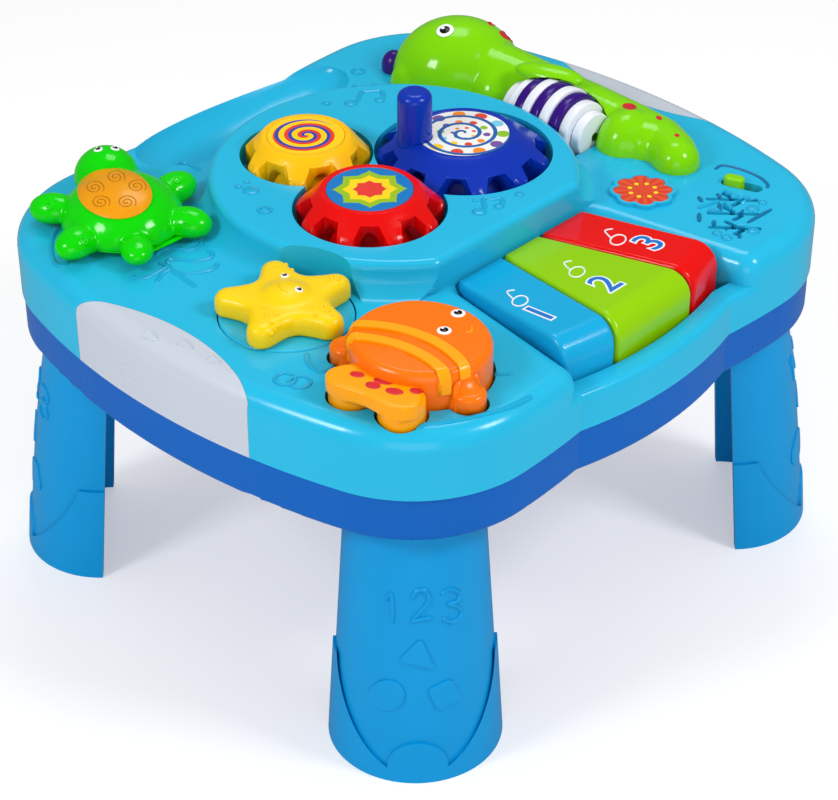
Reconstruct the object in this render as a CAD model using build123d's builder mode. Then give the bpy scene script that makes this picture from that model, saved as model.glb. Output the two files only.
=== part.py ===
from build123d import *
from math import asin, atan2, cos, degrees, hypot, radians, sin, sqrt
import os

# Toddler's activity table: a low table on four plug-in legs. Its top carries three meshing
# gears, three piano keys, a turtle and a fish to press, a starfish on a turntable, a seahorse
# with a ribbed roller for a belly, a sliding switch and a loudspeaker grille.
# Millimetres, +Z up, origin on the floor under the middle of the table.
# The keys are on the -Y side and the white edge panels on the two X sides.

os.makedirs("parts", exist_ok=True)

# Plan of the table: four round corner lobes, gently bowed sides and a shallow bulge front and rear
side_reach = 148.3
lobe_x = 81.1
lobe_y = 73.0
lobe_radius = 56.6
kink_x = 46.0
kink_reach = 127.8
kink_round = 2.0
bulge_reach = 134.0

# Heights: the seam between the two mouldings is measured from the floor, the others from the seam
seam_height = 132.0
band_height = 20.0
rim_rise = 16.5
top_rise = 29.0
podium_rise = 42.0
band_bottom = seam_height - band_height
rim_height = seam_height + rim_rise
top_height = seam_height + top_rise
podium_height = seam_height + podium_rise

# Housing walls
top_wall = 4.0
skirt_wall = 5.5
tray_wall = 2.6
tray_floor = 2.6
band_inset = 0.8
band_round = 3.0
top_edge_round = 8.0
rim_round = 3.0
ceiling = top_height - top_wall
seat_gap = 0.15
running_gap = 0.05

# White edge panels
panel_depth = 17.0
panel_arch = 100.0
panel_half = 48.5
panel_skin = 2.2

# Podium with the gear wells
podium_x = -0.7
podium_y = 13.3
podium_radius = 77.0
podium_edge = 4.0
podium_round = 3.5
well_depth = 10.0
well_gap = 1.5

# Gear train: the red gear meshes with both others
red_teeth = 9
blue_teeth = 11
yellow_teeth = 7
red_tip = 30.0
blue_tip = 36.0
yellow_tip = 26.5
red_x = -31.2
red_y = -2.2
red_blue_distance = 60.5
red_yellow_distance = 52.5
red_blue_angle = 3.9
red_yellow_angle = 74.5
mesh_gap = 0.6
tooth_tip_width = 6.0
tooth_root_width = 9.2
tooth_round = 1.2
gear_lift = 1.0
hub_gap = 0.3
gear_rim_height = 7.5
gear_height = 17.5
label_ring = 2.4
label_depth = 0.8
red_label = 17.7
blue_label = 19.6
yellow_label = 16.2
hub_radius = 8.0
spindle_radius = 5.0
screw_flange = 9.0
screw_flange_thickness = 1.5
screw_shank = 1.5
screw_grip = 9.0
screw_end_gap = 1.0
gear_shell = 3.0
knob_radius = 7.3
knob_height = 21.0
knob_round = 3.5
knob_peg = 3.0
knob_x = 13.2
knob_y = 14.9

# Keyboard notch and keys
keyboard_x = 5.0
notch_y = -51.0
notch_half = 39.4
notch_mouth = 52.5
notch_corner = 9.0
pocket_corner = 5.0
rim_width = 9.5
pocket_rise = 7.0
pocket_wall = 2.5
key_gap = 0.9
key_back_gap = 1.7
key_room = 6.5
key_front_rise = 5.5
key_wall = 2.6
key_hollow = 9.0
hinge_barrel = 4.5
key_split = 11.4
key_split_slope = 0.19
key_front_round = 10.0
key_side_round = 2.0
key_hinge_y = -58.5
key_hinge_rise = 5.5
hinge_rod_radius = 2.0
hinge_rod_length = 85.0
key_plunger_y = -104.0
key_plunger_radius = 4.0
dome_radius = 5.0
dome_taper = 0.7

# Rear finger trough
trough_y = 110.0
trough_lift = 2.0
trough_size = (60.0, 26.0, 18.0)

# Turtle button
turtle_x = -95.7
turtle_y = 75.4
turtle_heading = 63.0
turtle_lift = 3.5
turtle_shell_radius = 25.0
turtle_shell_rise = 17.5
turtle_stretch = 1.06
lens_radius = 15.5
lens_thickness = 2.4
turtle_stem = 9.0
turtle_flange = 12.0
turtle_head_reach = 25.0
turtle_head_size = (14.5, 13.5, 13.0)
turtle_flipper_reach = 28.5
turtle_flipper_size = (10.0, 7.5, 6.5)
turtle_tail_reach = 27.0
turtle_tail_size = (5.0, 4.0, 4.0)
turtle_board_length = 40.0
turtle_board_width = 16.0
turtle_post_reach = 17.0
turtle_fore_angle = 64.0
turtle_hind_angle = 126.0

# Fish button
fish_x = -88.4
fish_y = -84.0
fish_heading = 9.0
fish_half_length = 26.0
fish_half_width = 27.5
fish_rise = 11.0
fish_round = 3.0
fish_gap = 1.2
fish_flange = 2.0
fish_flange_thickness = 2.0
fish_tail_offset = 28.5
fish_tail_half = 11.0
fish_tail_lobe = 9.0
fish_tail_rise = 9.0
fish_tail_round = 2.5
fish_tail_edge = 1.2
fish_fin_rise = 8.0
fish_stripe = 4.5
fish_stripe_fronts = (1.8, -8.1)
fish_stripe_bow = 45.0
fish_stripe_relief = 0.7
fish_board_shift = 13.5
fish_board_length = 44.0
fish_board_width = 66.0
fish_post_offsets = ((32.5, 0), (14, 30), (29, -27))
fish_travel = 3.0
fish_stem_radius = 5.0
fish_stem_drop = 4.0
fish_fin_radius = 6.5
fish_fin_back = 9.0

# Starfish turntable
star_x = -96.4
star_y = -20.5
star_disc_radius = 26.5
star_disc_thickness = 5.0
star_disc_round = 1.0
star_arm = 28.0
star_tip = 6.0
star_round = 4.0
star_arm_rise = 9.5
star_core = 15.0
star_arms = 5
star_heading = 57.0
star_rise = 13.0
scoop_radius = 30.3
cup_wall = 3.0
disc_gap = 0.5

# Seahorse and its roller
drum_x = 89.6
drum_lift = 3.5
drum_front = -35.8
drum_rear = 25.6
drum_radius = 17.0
drum_end_radius = 12.5
drum_ribs = 8
drum_groove = 0.9
drum_groove_depth = 0.8
drum_gap = 0.8
axle_radius = 2.0
axle_length = 70.5
sea_head_x = 97.5
sea_head_y = 67.7
sea_head_size = (26.0, 28.0, 32.0)
sea_body_x = 110.0
sea_body_radius = 16.0
sea_body_rear_radius = 14.4
sea_body_front_radius = 9.6
sea_body_rear = 55.0
sea_body_front = -47.0
sea_tail_x = 99.4
sea_tail_y = -54.9
sea_tail_radius = 13.0
sea_head_heading = 0.0
sea_neck_x = 99.0
sea_neck_y = 38.6
sea_cheek_x = 93.7
sea_cheek_y = -44.6
sea_cheek_radius = 11.0
crest_x = 80.2
crest_y = 91.6
crest_radius = 11.0

# Badge, loudspeaker and switch on the right-hand lobe
badge_x = 71.0
badge_y = -61.3
badge_radius = 8.5
badge_lobe = 3.8
badge_lobes = 8
badge_frame = 1.6
badge_frame_height = 1.6
badge_thickness = 1.4
speaker_x = 83.3
speaker_y = -99.2
speaker_radius = 16.0
speaker_depth = 13.0
speaker_basket = 7.8
speaker_cone_rise = 5.2
speaker_magnet = 8.0
speaker_cone_radius = 13.5
slot_width = 2.4
coral_heading = 40.0
coral_pitch = 11.5
coral_stem = 22.0
coral_twig = 6.5
switch_x = 104.4
switch_y = -87.6
switch_heading = -72.0
switch_slot_length = 18.0
switch_slot_width = 6.0
switch_thumb_length = 9.0
switch_travel = 7.0
switch_flange = 2.0
switch_thumb_rise = 3.5
switch_thumb_round = 1.2
switch_body_length = 30.0
switch_body_depth = 7.0

# Legs
leg_top_offset = 21.0
leg_mid_offset = 27.0
leg_foot_offset = 30.0
leg_wall = 3.0
leg_top_radius = 27.0
leg_mid_radius = 30.5
leg_foot_radius = 34.0
leg_mid_height = 57.0
sock_relief = 1.2
sock_side = 44.0
sock_half = 31.0
sock_dip = 3.0
sock_bump = 12.0
sock_peak = 19.0
tenon_half = 20.0
tenon_height = 11.0
socket_wall = 2.0

# Batteries and boards
cell_radius = 7.15
cell_length = 50.3
cell_pitch = 15.2
cell_play = 0.2
contact_room = 4.2
cover_thickness = 2.2
cover_ledge = 3.0
box_wall = 2.0
board_thickness = 1.6
post_radius = 5.0
post_root = 1.0
case_posts = ((-70, 20), (50, 38), (42, -40), (-52, -48), (-126, 16), (125, -8))
case_screw_radius = 1.5
case_screw_grip = 14.0
case_head_radius = 3.0
case_head_height = 2.4
case_head_room = 3.0
cover_screw_radius = 1.3
cover_screw_grip = 9.0
contact_plate = 0.6
main_board_x = 84.0
main_board_y = 42.0
main_board_length = 54.0
main_board_width = 38.0
main_board_rise = 8.0
board_post_radius = 2.5
board_post_inset = 4.0
button_board_drop = 10.0

# Values that follow from the sizes above
bulge_crown = bulge_reach - kink_reach
bulge_radius = (kink_x**2 + bulge_crown**2) / (2 * bulge_crown)
pocket_floor = seam_height + pocket_rise
key_bottom = pocket_floor + key_room
key_hinge_z = key_bottom + key_hinge_rise
fish_stem_end = ceiling - fish_stem_drop
fish_flange_top = ceiling - hub_gap
fish_opening_bottom = fish_flange_top - fish_flange_thickness - fish_travel - fish_gap
main_board_bottom = band_bottom + main_board_rise
button_board_top = ceiling - button_board_drop
well_floor = podium_height - well_depth
foot_round = podium_height - podium_edge - top_height
drum_z = top_height + drum_lift
notch_slope = (notch_mouth - notch_half) / (kink_reach + notch_y)
blue_x = red_x + red_blue_distance * cos(radians(red_blue_angle))
blue_y = red_y + red_blue_distance * sin(radians(red_blue_angle))
yellow_x = red_x + red_yellow_distance * cos(radians(red_yellow_angle))
yellow_y = red_y + red_yellow_distance * sin(radians(red_yellow_angle))

turtle_board_posts = ((turtle_x - turtle_post_reach, turtle_y), (turtle_x + turtle_post_reach, turtle_y))
fish_board_posts = tuple((fish_x + x, fish_y + y) for x, y in fish_post_offsets)
board_posts = turtle_board_posts + fish_board_posts
BOTTOM = (Align.CENTER, Align.CENTER, Align.MIN)
TOP = (Align.CENTER, Align.CENTER, Align.MAX)
unit_ball = Sphere(1)


def save(piece, node):
    """Label a finished piece and write it as its own STEP file."""
    piece.part.label = node
    export_step(piece.part, f"parts/{node}.step")


def table_outline(inset):
    """Plan of the table, drawn inward by inset."""
    radius = lobe_radius - inset
    reach = side_reach - inset
    bow = reach - lobe_x
    side_radius = (bow**2 + lobe_y**2 - radius**2) / (2 * (bow - radius))
    tangent = degrees(atan2(lobe_y, lobe_x - reach + side_radius))
    bulge_half = degrees(asin(kink_x / bulge_radius))
    with BuildSketch() as outline:
        with BuildLine():
            CenterArc((reach - side_radius, 0), side_radius, 0, tangent)
            CenterArc((lobe_x, lobe_y), radius, tangent, 90 - tangent)
            TangentArc((lobe_x, lobe_y + radius), (kink_x, kink_reach - inset), tangent=(-1, 0))
            CenterArc((0, bulge_reach - inset - bulge_radius), bulge_radius, 90 - bulge_half, bulge_half)
            mirror(about=Plane.YZ)
            mirror(about=Plane.XZ)
        make_face()
        kinks = outline.vertices().filter_by(lambda v: abs(abs(v.X) - kink_x) < 0.01)
        fillet(kinks, kink_round + inset)
    return outline.sketch


def fan(left, left_slope, right, right_slope, start):
    """Plan of a fan-shaped strip that widens from y = start towards the front edge."""
    reach = bulge_reach + start + 2 * rim_width
    with BuildSketch() as strip:
        with BuildLine():
            Polyline(
                (keyboard_x + left, start),
                (keyboard_x + right, start),
                (keyboard_x + right + right_slope * reach, start - reach),
                (keyboard_x + left + left_slope * reach, start - reach),
                close=True,
            )
        make_face()
    return strip.sketch


def notch(grow):
    """Plan of the keyboard notch, grown sideways and inward by grow."""
    return fan(-notch_half - grow, -notch_slope, notch_half + grow, notch_slope, notch_y + grow)


def slab(inset, top):
    """Solid table top above the seam, with its rounded shoulder, drawn inward by inset."""
    with BuildPart() as block:
        with BuildSketch(Plane.XY.offset(seam_height)) as plan:
            add(table_outline(inset))
            add(notch(inset), mode=Mode.SUBTRACT)
            corners = plan.vertices().filter_by_position(Axis.Y, -bulge_reach, notch_y + 2 * inset)
            mouth = notch_mouth + 2 * inset + notch_corner
            fillet(corners.filter_by(lambda v: abs(v.X - keyboard_x) < mouth), notch_corner - inset)
        extrude(amount=top - seam_height)
        fillet(block.edges().group_by(Axis.Z)[-1], top_edge_round - inset)
    return block.part


def panel_zone(side, grow):
    """Upright prism in which the white edge panel of one side lies."""
    edge = side_reach - panel_depth - grow
    with BuildPart() as zone:
        with BuildSketch(Plane.XY.offset(seam_height)):
            with Locations((side * (edge + panel_arch), 0)):
                Circle(panel_arch)
            Rectangle(2 * (side_reach + grow), 2 * (panel_half + grow), mode=Mode.INTERSECT)
        extrude(amount=top_height - seam_height)
    return zone.part


def gear_outline(teeth, tip, root, turn):
    """Plan of a toothed wheel with one tooth pointing at the angle turn."""
    half_tip = tooth_tip_width / 2
    half_root = tooth_root_width / 2
    with BuildSketch() as outline:
        Circle(root)
        with PolarLocations(0, teeth, start_angle=turn):
            Polygon(
                (0, half_root),
                (root, half_root),
                (tip, half_tip),
                (tip, -half_tip),
                (root, -half_root),
                (0, -half_root),
                align=None,
            )
        corners = outline.vertices().filter_by(lambda v: hypot(v.X, v.Y) > tip)
        fillet(corners, tooth_round)
    return outline.sketch


def badge_plan(grow):
    """Plan of the scalloped badge, grown by grow."""
    with BuildSketch() as plan:
        with Locations((badge_x, badge_y)):
            Circle(badge_radius)
            with PolarLocations(badge_radius, badge_lobes):
                Circle(badge_lobe + grow)
    return plan.sketch


def coral_plan():
    """Plan of the loudspeaker slots: three stems, each with a twig on both sides."""
    with BuildSketch(turned(speaker_x, speaker_y, 0, coral_heading)) as plan:
        with GridLocations(coral_pitch, 1, 3, 1):
            SlotOverall(coral_stem, slot_width, rotation=90)
            with Locations((coral_twig / 2, coral_twig / 4)):
                SlotOverall(coral_twig, slot_width, rotation=45)
            with Locations((-coral_twig / 2, -coral_twig / 4)):
                SlotOverall(coral_twig, slot_width, rotation=135)
    return plan.sketch


def turned(x, y, z, heading):
    """Level plane at a point, its local X axis turned to heading."""
    return Plane(origin=(x, y, z), x_dir=(cos(radians(heading)), sin(radians(heading)), 0), z_dir=(0, 0, 1))


def upright(x, y):
    """Upright plane through a vertical axis, its local axes along X and Z."""
    return Plane(origin=(x, y, 0), x_dir=(1, 0, 0), z_dir=(0, -1, 0))


def ellipsoid(x, y, z, heading, size):
    """Egg-shaped solid with the half axes given by size, its first axis turned to heading."""
    return Pos(x, y, z) * Rot(0, 0, heading) * scale(unit_ball, by=size, mode=Mode.PRIVATE)


def ahead(x, y, heading, distance):
    """Point at a distance from (x, y) in the direction heading."""
    return (x + distance * cos(radians(heading)), y + distance * sin(radians(heading)))


def barrel(grow):
    """Solid of revolution of the ribbed roller's envelope, grown by grow on every side."""
    length = drum_rear - drum_front
    middle = (drum_rear + drum_front) / 2
    with BuildPart() as envelope:
        with BuildSketch(Plane(origin=(drum_x, middle, drum_z), x_dir=(0, 1, 0), z_dir=(1, 0, 0))):
            with BuildLine():
                half = length / 2 + grow
                end = drum_end_radius + grow
                ThreePointArc((-half, end), (0, drum_radius + grow), (half, end))
                Polyline((half, end), (half, 0), (-half, 0), (-half, end))
            make_face()
        revolve(axis=Axis((drum_x, middle, drum_z), (0, 1, 0)))
    return envelope.part


def fish_body_shapes(grow, fins):
    """Draw the fish's oval body, with or without its side fins, in the current sketch."""
    Ellipse(fish_half_length + grow, fish_half_width + grow)
    if fins:
        with Locations((-fish_fin_back, fish_half_width), (-fish_fin_back, -fish_half_width)):
            Circle(fish_fin_radius + grow)


def fish_tail_shapes(grow):
    """Draw the fish's two-lobed tail in the current sketch."""
    with Locations((-fish_tail_offset, fish_tail_half), (-fish_tail_offset, -fish_tail_half)):
        Circle(fish_tail_lobe + grow)
    with Locations((-fish_tail_offset + fish_tail_lobe, 0)):
        Rectangle(2 * fish_tail_lobe, 2 * fish_tail_half + 2 * grow)


def fish_plan(grow, fins):
    """Plan of the whole fish, grown by grow."""
    with BuildSketch(turned(fish_x, fish_y, 0, fish_heading)) as plan:
        fish_body_shapes(grow, fins)
        fish_tail_shapes(grow)
    return plan.sketch


# Podium: a round mound cut off straight behind the keys, with a hollow curve round its foot
with BuildPart() as podium:
    with BuildSketch(Plane.XY.offset(pocket_floor)) as podium_plan:
        with Locations((podium_x, podium_y)):
            Circle(podium_radius)
        with Locations((podium_x, notch_y)):
            Rectangle(2 * podium_radius, podium_radius, align=(Align.CENTER, Align.MAX), mode=Mode.SUBTRACT)
        fillet(podium_plan.vertices(), podium_edge)
    extrude(amount=podium_height - pocket_floor)
    fillet(podium.edges().group_by(Axis.Z)[-1], podium_round)
    with BuildSketch(upright(podium_x, podium_y)):
        with BuildLine():
            foot = podium_radius + foot_round
            CenterArc((foot, top_height + foot_round), foot_round, 180, 90)
            Polyline(
                (foot, top_height),
                (foot, ceiling),
                (podium_radius - podium_edge, ceiling),
                (podium_radius - podium_edge, top_height + foot_round),
                (podium_radius, top_height + foot_round),
            )
        make_face()
    revolve(axis=Axis((podium_x, podium_y, 0), (0, 0, 1)))
    with Locations((podium_x, notch_y, 0)):
        Box(
            3 * podium_radius,
            podium_radius,
            2 * podium_height,
            align=(Align.CENTER, Align.MAX, Align.MIN),
            mode=Mode.SUBTRACT,
        )

# Top shell: skirt, rims, lobes and podium in one moulding, hollow from below
wells = ((red_x, red_y, red_tip), (blue_x, blue_y, blue_tip), (yellow_x, yellow_y, yellow_tip))
cup_floor = top_height - star_disc_thickness - cup_wall
with BuildPart() as top_shell:
    with BuildSketch(Plane.XY.offset(seam_height)):
        add(table_outline(0))
    extrude(amount=rim_height - seam_height)
    fillet(top_shell.edges().group_by(Axis.Z)[-1], rim_round)
    add(slab(0, top_height))
    add(podium.part)
    # finger trough along the rear edge
    trough = ellipsoid(keyboard_x, trough_y, top_height + trough_lift, 0, trough_size)
    add(trough, mode=Mode.SUBTRACT)
    # gear wells and their spindle holes
    with BuildSketch(Plane.XY.offset(well_floor)):
        for x, y, tip in wells:
            with Locations((x, y)):
                Circle(tip + well_gap)
    extrude(amount=2 * well_depth, mode=Mode.SUBTRACT)
    # scoop in the podium's flank where the starfish turns, and the turntable's cup
    with Locations((star_x, star_y, top_height)):
        Cylinder(scoop_radius, podium_height, align=BOTTOM, mode=Mode.SUBTRACT)
    with Locations((star_x, star_y, cup_floor + cup_wall)):
        Cylinder(star_disc_radius + disc_gap, podium_height, align=BOTTOM, mode=Mode.SUBTRACT)
    # keyboard pocket behind its rim
    with BuildSketch(Plane.XY.offset(pocket_floor)) as pocket_plan:
        add(notch(0))
        add(table_outline(rim_width), mode=Mode.INTERSECT)
        fillet(pocket_plan.vertices().group_by(Axis.Y)[-1], pocket_corner)
    extrude(amount=podium_height, mode=Mode.SUBTRACT)
    # hollow inside: low under the pocket and trough, high elsewhere
    with BuildSketch(Plane.XY.offset(seam_height)):
        add(table_outline(skirt_wall))
    extrude(amount=pocket_floor - pocket_wall - seam_height, mode=Mode.SUBTRACT)
    with BuildSketch(Plane.XY.offset(seam_height)):
        add(table_outline(skirt_wall))
        add(notch(pocket_wall), mode=Mode.SUBTRACT)
        with Locations((keyboard_x, trough_y)):
            Ellipse(trough_size[0] + pocket_wall, trough_size[1] + pocket_wall, mode=Mode.SUBTRACT)
        with Locations((star_x, star_y)):
            Circle(star_disc_radius + disc_gap + cup_wall, mode=Mode.SUBTRACT)
    extrude(amount=ceiling - seam_height, mode=Mode.SUBTRACT)
    with Locations((star_x, star_y, seam_height)):
        Cylinder(
            star_disc_radius + disc_gap, cup_floor - seam_height, align=BOTTOM, mode=Mode.SUBTRACT
        )
    # spindle, turntable and turtle stem holes
    with Locations(*((x, y, top_height) for x, y, tip in wells), (star_x, star_y, top_height)):
        Cylinder(spindle_radius + running_gap, 3 * well_depth, mode=Mode.SUBTRACT)
    with Locations((turtle_x, turtle_y, top_height)):
        Cylinder(turtle_stem + running_gap, 4 * top_wall, mode=Mode.SUBTRACT)
    # fish opening, deep enough for the flange of the pressed fish
    with BuildSketch(Plane.XY.offset(fish_opening_bottom)):
        add(fish_plan(fish_gap, True))
    extrude(amount=top_height + top_wall - fish_opening_bottom, mode=Mode.SUBTRACT)
    # roller slot
    add(barrel(drum_gap), mode=Mode.SUBTRACT)
    # white panels lie in shallow recesses of the skirt
    for side in (-1, 1):
        add(panel_zone(side, seat_gap) - slab(panel_skin, top_height - panel_skin), mode=Mode.SUBTRACT)
    # key hinge rod seats
    with Locations(Location((keyboard_x, key_hinge_y, key_hinge_z), (0, 90, 0))):
        Cylinder(hinge_rod_radius + running_gap, hinge_rod_length, mode=Mode.SUBTRACT)
    # scalloped badge frame and its recess
    with BuildSketch(Plane.XY.offset(top_height - top_wall / 2)):
        add(badge_plan(badge_frame))
    extrude(amount=top_wall / 2 + badge_frame_height)
    with BuildSketch(Plane.XY.offset(top_height)):
        add(badge_plan(seat_gap))
    extrude(amount=top_wall, mode=Mode.SUBTRACT)
    # loudspeaker slots in the shape of three branching corals
    with BuildSketch(Plane.XY.offset(ceiling - top_wall)):
        add(coral_plan())
    extrude(amount=3 * top_wall, mode=Mode.SUBTRACT)
    # switch slot
    with BuildSketch(turned(switch_x, switch_y, ceiling - top_wall, switch_heading)):
        SlotOverall(switch_slot_length, switch_slot_width)
    extrude(amount=3 * top_wall, mode=Mode.SUBTRACT)
    # screw posts
    with Locations(*((x, y, seam_height) for x, y in case_posts)):
        Cylinder(post_radius, ceiling - seam_height + post_root, align=BOTTOM)
        Cylinder(case_screw_radius, case_screw_grip, align=BOTTOM, mode=Mode.SUBTRACT)
    # posts that carry the two button boards
    with Locations(*((x, y, button_board_top) for x, y in board_posts)):
        Cylinder(board_post_radius, ceiling - button_board_top + post_root, align=BOTTOM)
save(top_shell, "top_shell")

# White edge panels, flush with the skirt
for side, node in ((-1, "side_panel_left"), (1, "side_panel_right")):
    backing = slab(panel_skin - seat_gap, top_height - panel_skin + seat_gap)
    with BuildPart() as panel:
        add(panel_zone(side, 0))
        add(slab(0, top_height), mode=Mode.INTERSECT)
        add(backing, mode=Mode.SUBTRACT)
    save(panel, node)

# Legs: half-pipe shells that flare towards the floor, with a raised wavy sock and a tenon on top
diagonal = cos(radians(45))
leg_places = (
    ("leg_front_left", -1, -1),
    ("leg_front_right", 1, -1),
    ("leg_rear_left", -1, 1),
    ("leg_rear_right", 1, 1),
)
leg_stations = (
    (0, leg_foot_offset, leg_foot_radius),
    (leg_mid_height, leg_mid_offset, leg_mid_radius),
    (band_bottom, leg_top_offset, leg_top_radius),
)


def leg_axis(right, rear, offset):
    """Plan position of a leg's centre line at a distance out from the middle of its lobe."""
    return (right * (lobe_x + offset * diagonal), rear * (lobe_y + offset * diagonal))


def leg_column(right, rear, grow):
    """Round column that a leg is cut from, leaning outward and grown by grow."""
    with BuildPart() as column:
        for height, offset, radius in leg_stations:
            x, y = leg_axis(right, rear, offset)
            with BuildSketch(Plane(origin=(x, y, height))):
                Circle(radius + grow)
        loft()
    return column.part


def facing(right, rear):
    """Upright plane through the middle of a lobe, square to the diagonal, seen from outside."""
    along = (-rear * diagonal, right * diagonal, 0)
    outward = (right * diagonal, rear * diagonal, 0)
    return Plane(origin=(right * lobe_x, rear * lobe_y, 0), x_dir=along, z_dir=outward)


def tenon_plan(right, rear, grow):
    """Plan of the arc-shaped tenon on top of a leg, grown by grow."""
    x, y = leg_axis(right, rear, leg_top_offset)
    with BuildSketch(turned(x, y, 0, degrees(atan2(rear, right)))) as plan:
        Circle(leg_top_radius - seat_gap + grow)
        Circle(leg_top_radius - leg_wall + seat_gap - grow, mode=Mode.SUBTRACT)
        Rectangle(
            2 * leg_top_radius, 2 * (tenon_half + grow), align=(Align.MIN, Align.CENTER), mode=Mode.INTERSECT
        )
    return plan.sketch


for node, right, rear in leg_places:
    foot_x, foot_y = leg_axis(right, rear, leg_foot_offset)
    lean = leg_foot_offset - leg_top_offset
    open_back = Plane(
        origin=(foot_x, foot_y, 0),
        z_dir=(right * diagonal * band_bottom, rear * diagonal * band_bottom, lean),
    )
    with BuildPart() as sock:
        add(leg_column(right, rear, sock_relief))
        with BuildSketch(facing(right, rear)):
            Rectangle(3 * leg_foot_radius, sock_side, align=(Align.CENTER, Align.MIN))
            with Locations((0, sock_side)):
                Ellipse(sock_half, sock_side - sock_dip, mode=Mode.SUBTRACT)
            with Locations((0, sock_peak - sock_bump)):
                Circle(sock_bump)
            Rectangle(3 * leg_foot_radius, sock_side, align=(Align.CENTER, Align.MIN), mode=Mode.INTERSECT)
        extrude(amount=leg_foot_offset + 2 * leg_foot_radius, mode=Mode.INTERSECT)
    with BuildPart() as leg:
        add(leg_column(right, rear, 0))
        add(sock.part)
        add(leg_column(right, rear, -leg_wall), mode=Mode.SUBTRACT)
        split(bisect_by=open_back, keep=Keep.TOP)
        with BuildSketch(Plane.XY.offset(band_bottom)):
            add(tenon_plan(right, rear, 0))
        extrude(amount=tenon_height)
    save(leg, node)

# Base tray: the dark band and floor, with leg sockets, battery box and screw posts
box_length = cell_length + 2 * contact_room
box_width = 3 * cell_pitch + 2 * cell_play
box_height = 2 * cell_radius + 2 * cell_play
box_outer_length = box_length + 2 * (cover_ledge + box_wall)
box_outer_width = box_width + 2 * (cover_ledge + box_wall)
floor_top = band_bottom + tray_floor
with BuildPart() as base_tray:
    with BuildSketch(Plane.XY.offset(band_bottom)):
        add(table_outline(band_inset))
    extrude(amount=seam_height - band_bottom)
    fillet(base_tray.edges().group_by(Axis.Z)[0], band_round)
    with BuildSketch(Plane.XY.offset(floor_top)):
        add(table_outline(band_inset + band_round + tray_wall / 2))
    extrude(amount=seam_height - floor_top, mode=Mode.SUBTRACT)
    # leg sockets
    for node, right, rear in leg_places:
        with BuildSketch(Plane.XY.offset(floor_top)):
            add(tenon_plan(right, rear, seat_gap + socket_wall))
        extrude(amount=tenon_height)
        with BuildSketch(Plane.XY.offset(band_bottom)):
            add(tenon_plan(right, rear, seat_gap))
        extrude(amount=tenon_height + seat_gap, mode=Mode.SUBTRACT)
    # battery box with a ledge for its cover
    with BuildSketch(Plane.XY.offset(band_bottom)):
        Rectangle(box_outer_length, box_outer_width)
    extrude(amount=cover_thickness + box_height + box_wall)
    with BuildSketch(Plane.XY.offset(band_bottom)):
        Rectangle(box_length, box_width)
    extrude(amount=cover_thickness + box_height, mode=Mode.SUBTRACT)
    with BuildSketch(Plane.XY.offset(band_bottom)):
        RectangleRounded(box_length + 2 * cover_ledge, box_width + 2 * cover_ledge, cover_ledge)
    extrude(amount=cover_thickness, mode=Mode.SUBTRACT)
    # cover screw boss beside the box
    with Locations((box_length / 2 + cover_ledge / 2, 0, band_bottom + cover_thickness)):
        Cylinder(cover_screw_radius, cover_screw_grip, align=BOTTOM, mode=Mode.SUBTRACT)
    # screw posts that meet those of the top shell
    with Locations(*((x, y, band_bottom) for x, y in case_posts)):
        Cylinder(post_radius, seam_height - band_bottom, align=BOTTOM)
        Cylinder(case_screw_radius + seat_gap, seam_height - band_bottom, align=BOTTOM, mode=Mode.SUBTRACT)
        Cylinder(case_head_radius + seat_gap, case_head_room, align=BOTTOM, mode=Mode.SUBTRACT)
    # posts under the main circuit board
    post_spread_x = main_board_length - 2 * board_post_inset
    post_spread_y = main_board_width - 2 * board_post_inset
    with Locations((main_board_x, main_board_y, floor_top)):
        with GridLocations(post_spread_x, post_spread_y, 2, 2):
            Cylinder(board_post_radius, main_board_bottom - floor_top, align=BOTTOM)
save(base_tray, "base_tray")

with BuildPart() as housing_screws:
    with Locations(*((x, y, band_bottom + case_head_room) for x, y in case_posts)):
        Cylinder(case_head_radius, case_head_height, align=TOP)
        Cylinder(case_screw_radius - running_gap, band_height + case_screw_grip / 2, align=BOTTOM)
save(housing_screws, "housing_screws")

# Battery compartment
cover_length = box_length + 2 * cover_ledge - 2 * seat_gap
cover_width = box_width + 2 * cover_ledge - 2 * seat_gap
with BuildPart() as battery_cover:
    with BuildSketch(Plane.XY.offset(band_bottom)):
        RectangleRounded(cover_length, cover_width, cover_ledge)
    extrude(amount=cover_thickness)
    with Locations((box_length / 2 + cover_ledge / 2, 0, band_bottom)):
        Cylinder(cover_screw_radius + seat_gap, cover_thickness, align=BOTTOM, mode=Mode.SUBTRACT)
    # finger ribs at the opening end
    with BuildSketch(Plane.XY.offset(band_bottom)):
        with Locations((-box_length / 2 + 3 * cover_ledge, 0)):
            with GridLocations(cover_ledge, 1, 4, 1):
                SlotOverall(box_width / 3, cover_ledge / 3, rotation=90)
    extrude(amount=cover_thickness / 3, mode=Mode.SUBTRACT)
save(battery_cover, "battery_cover")

with BuildPart() as battery_cover_screw:
    with Locations((box_length / 2 + cover_ledge / 2, 0, band_bottom)):
        Cylinder(cover_screw_radius - running_gap, cover_thickness + cover_screw_grip / 2, align=BOTTOM)
save(battery_cover_screw, "battery_cover_screw")

cell_height = band_bottom + cover_thickness + cell_play + cell_radius
with BuildPart() as batteries:
    with Locations((0, 0, cell_height)):
        with GridLocations(1, cell_pitch, 1, 3):
            Cylinder(cell_radius, cell_length, rotation=(0, 90, 0))
save(batteries, "batteries")

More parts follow.
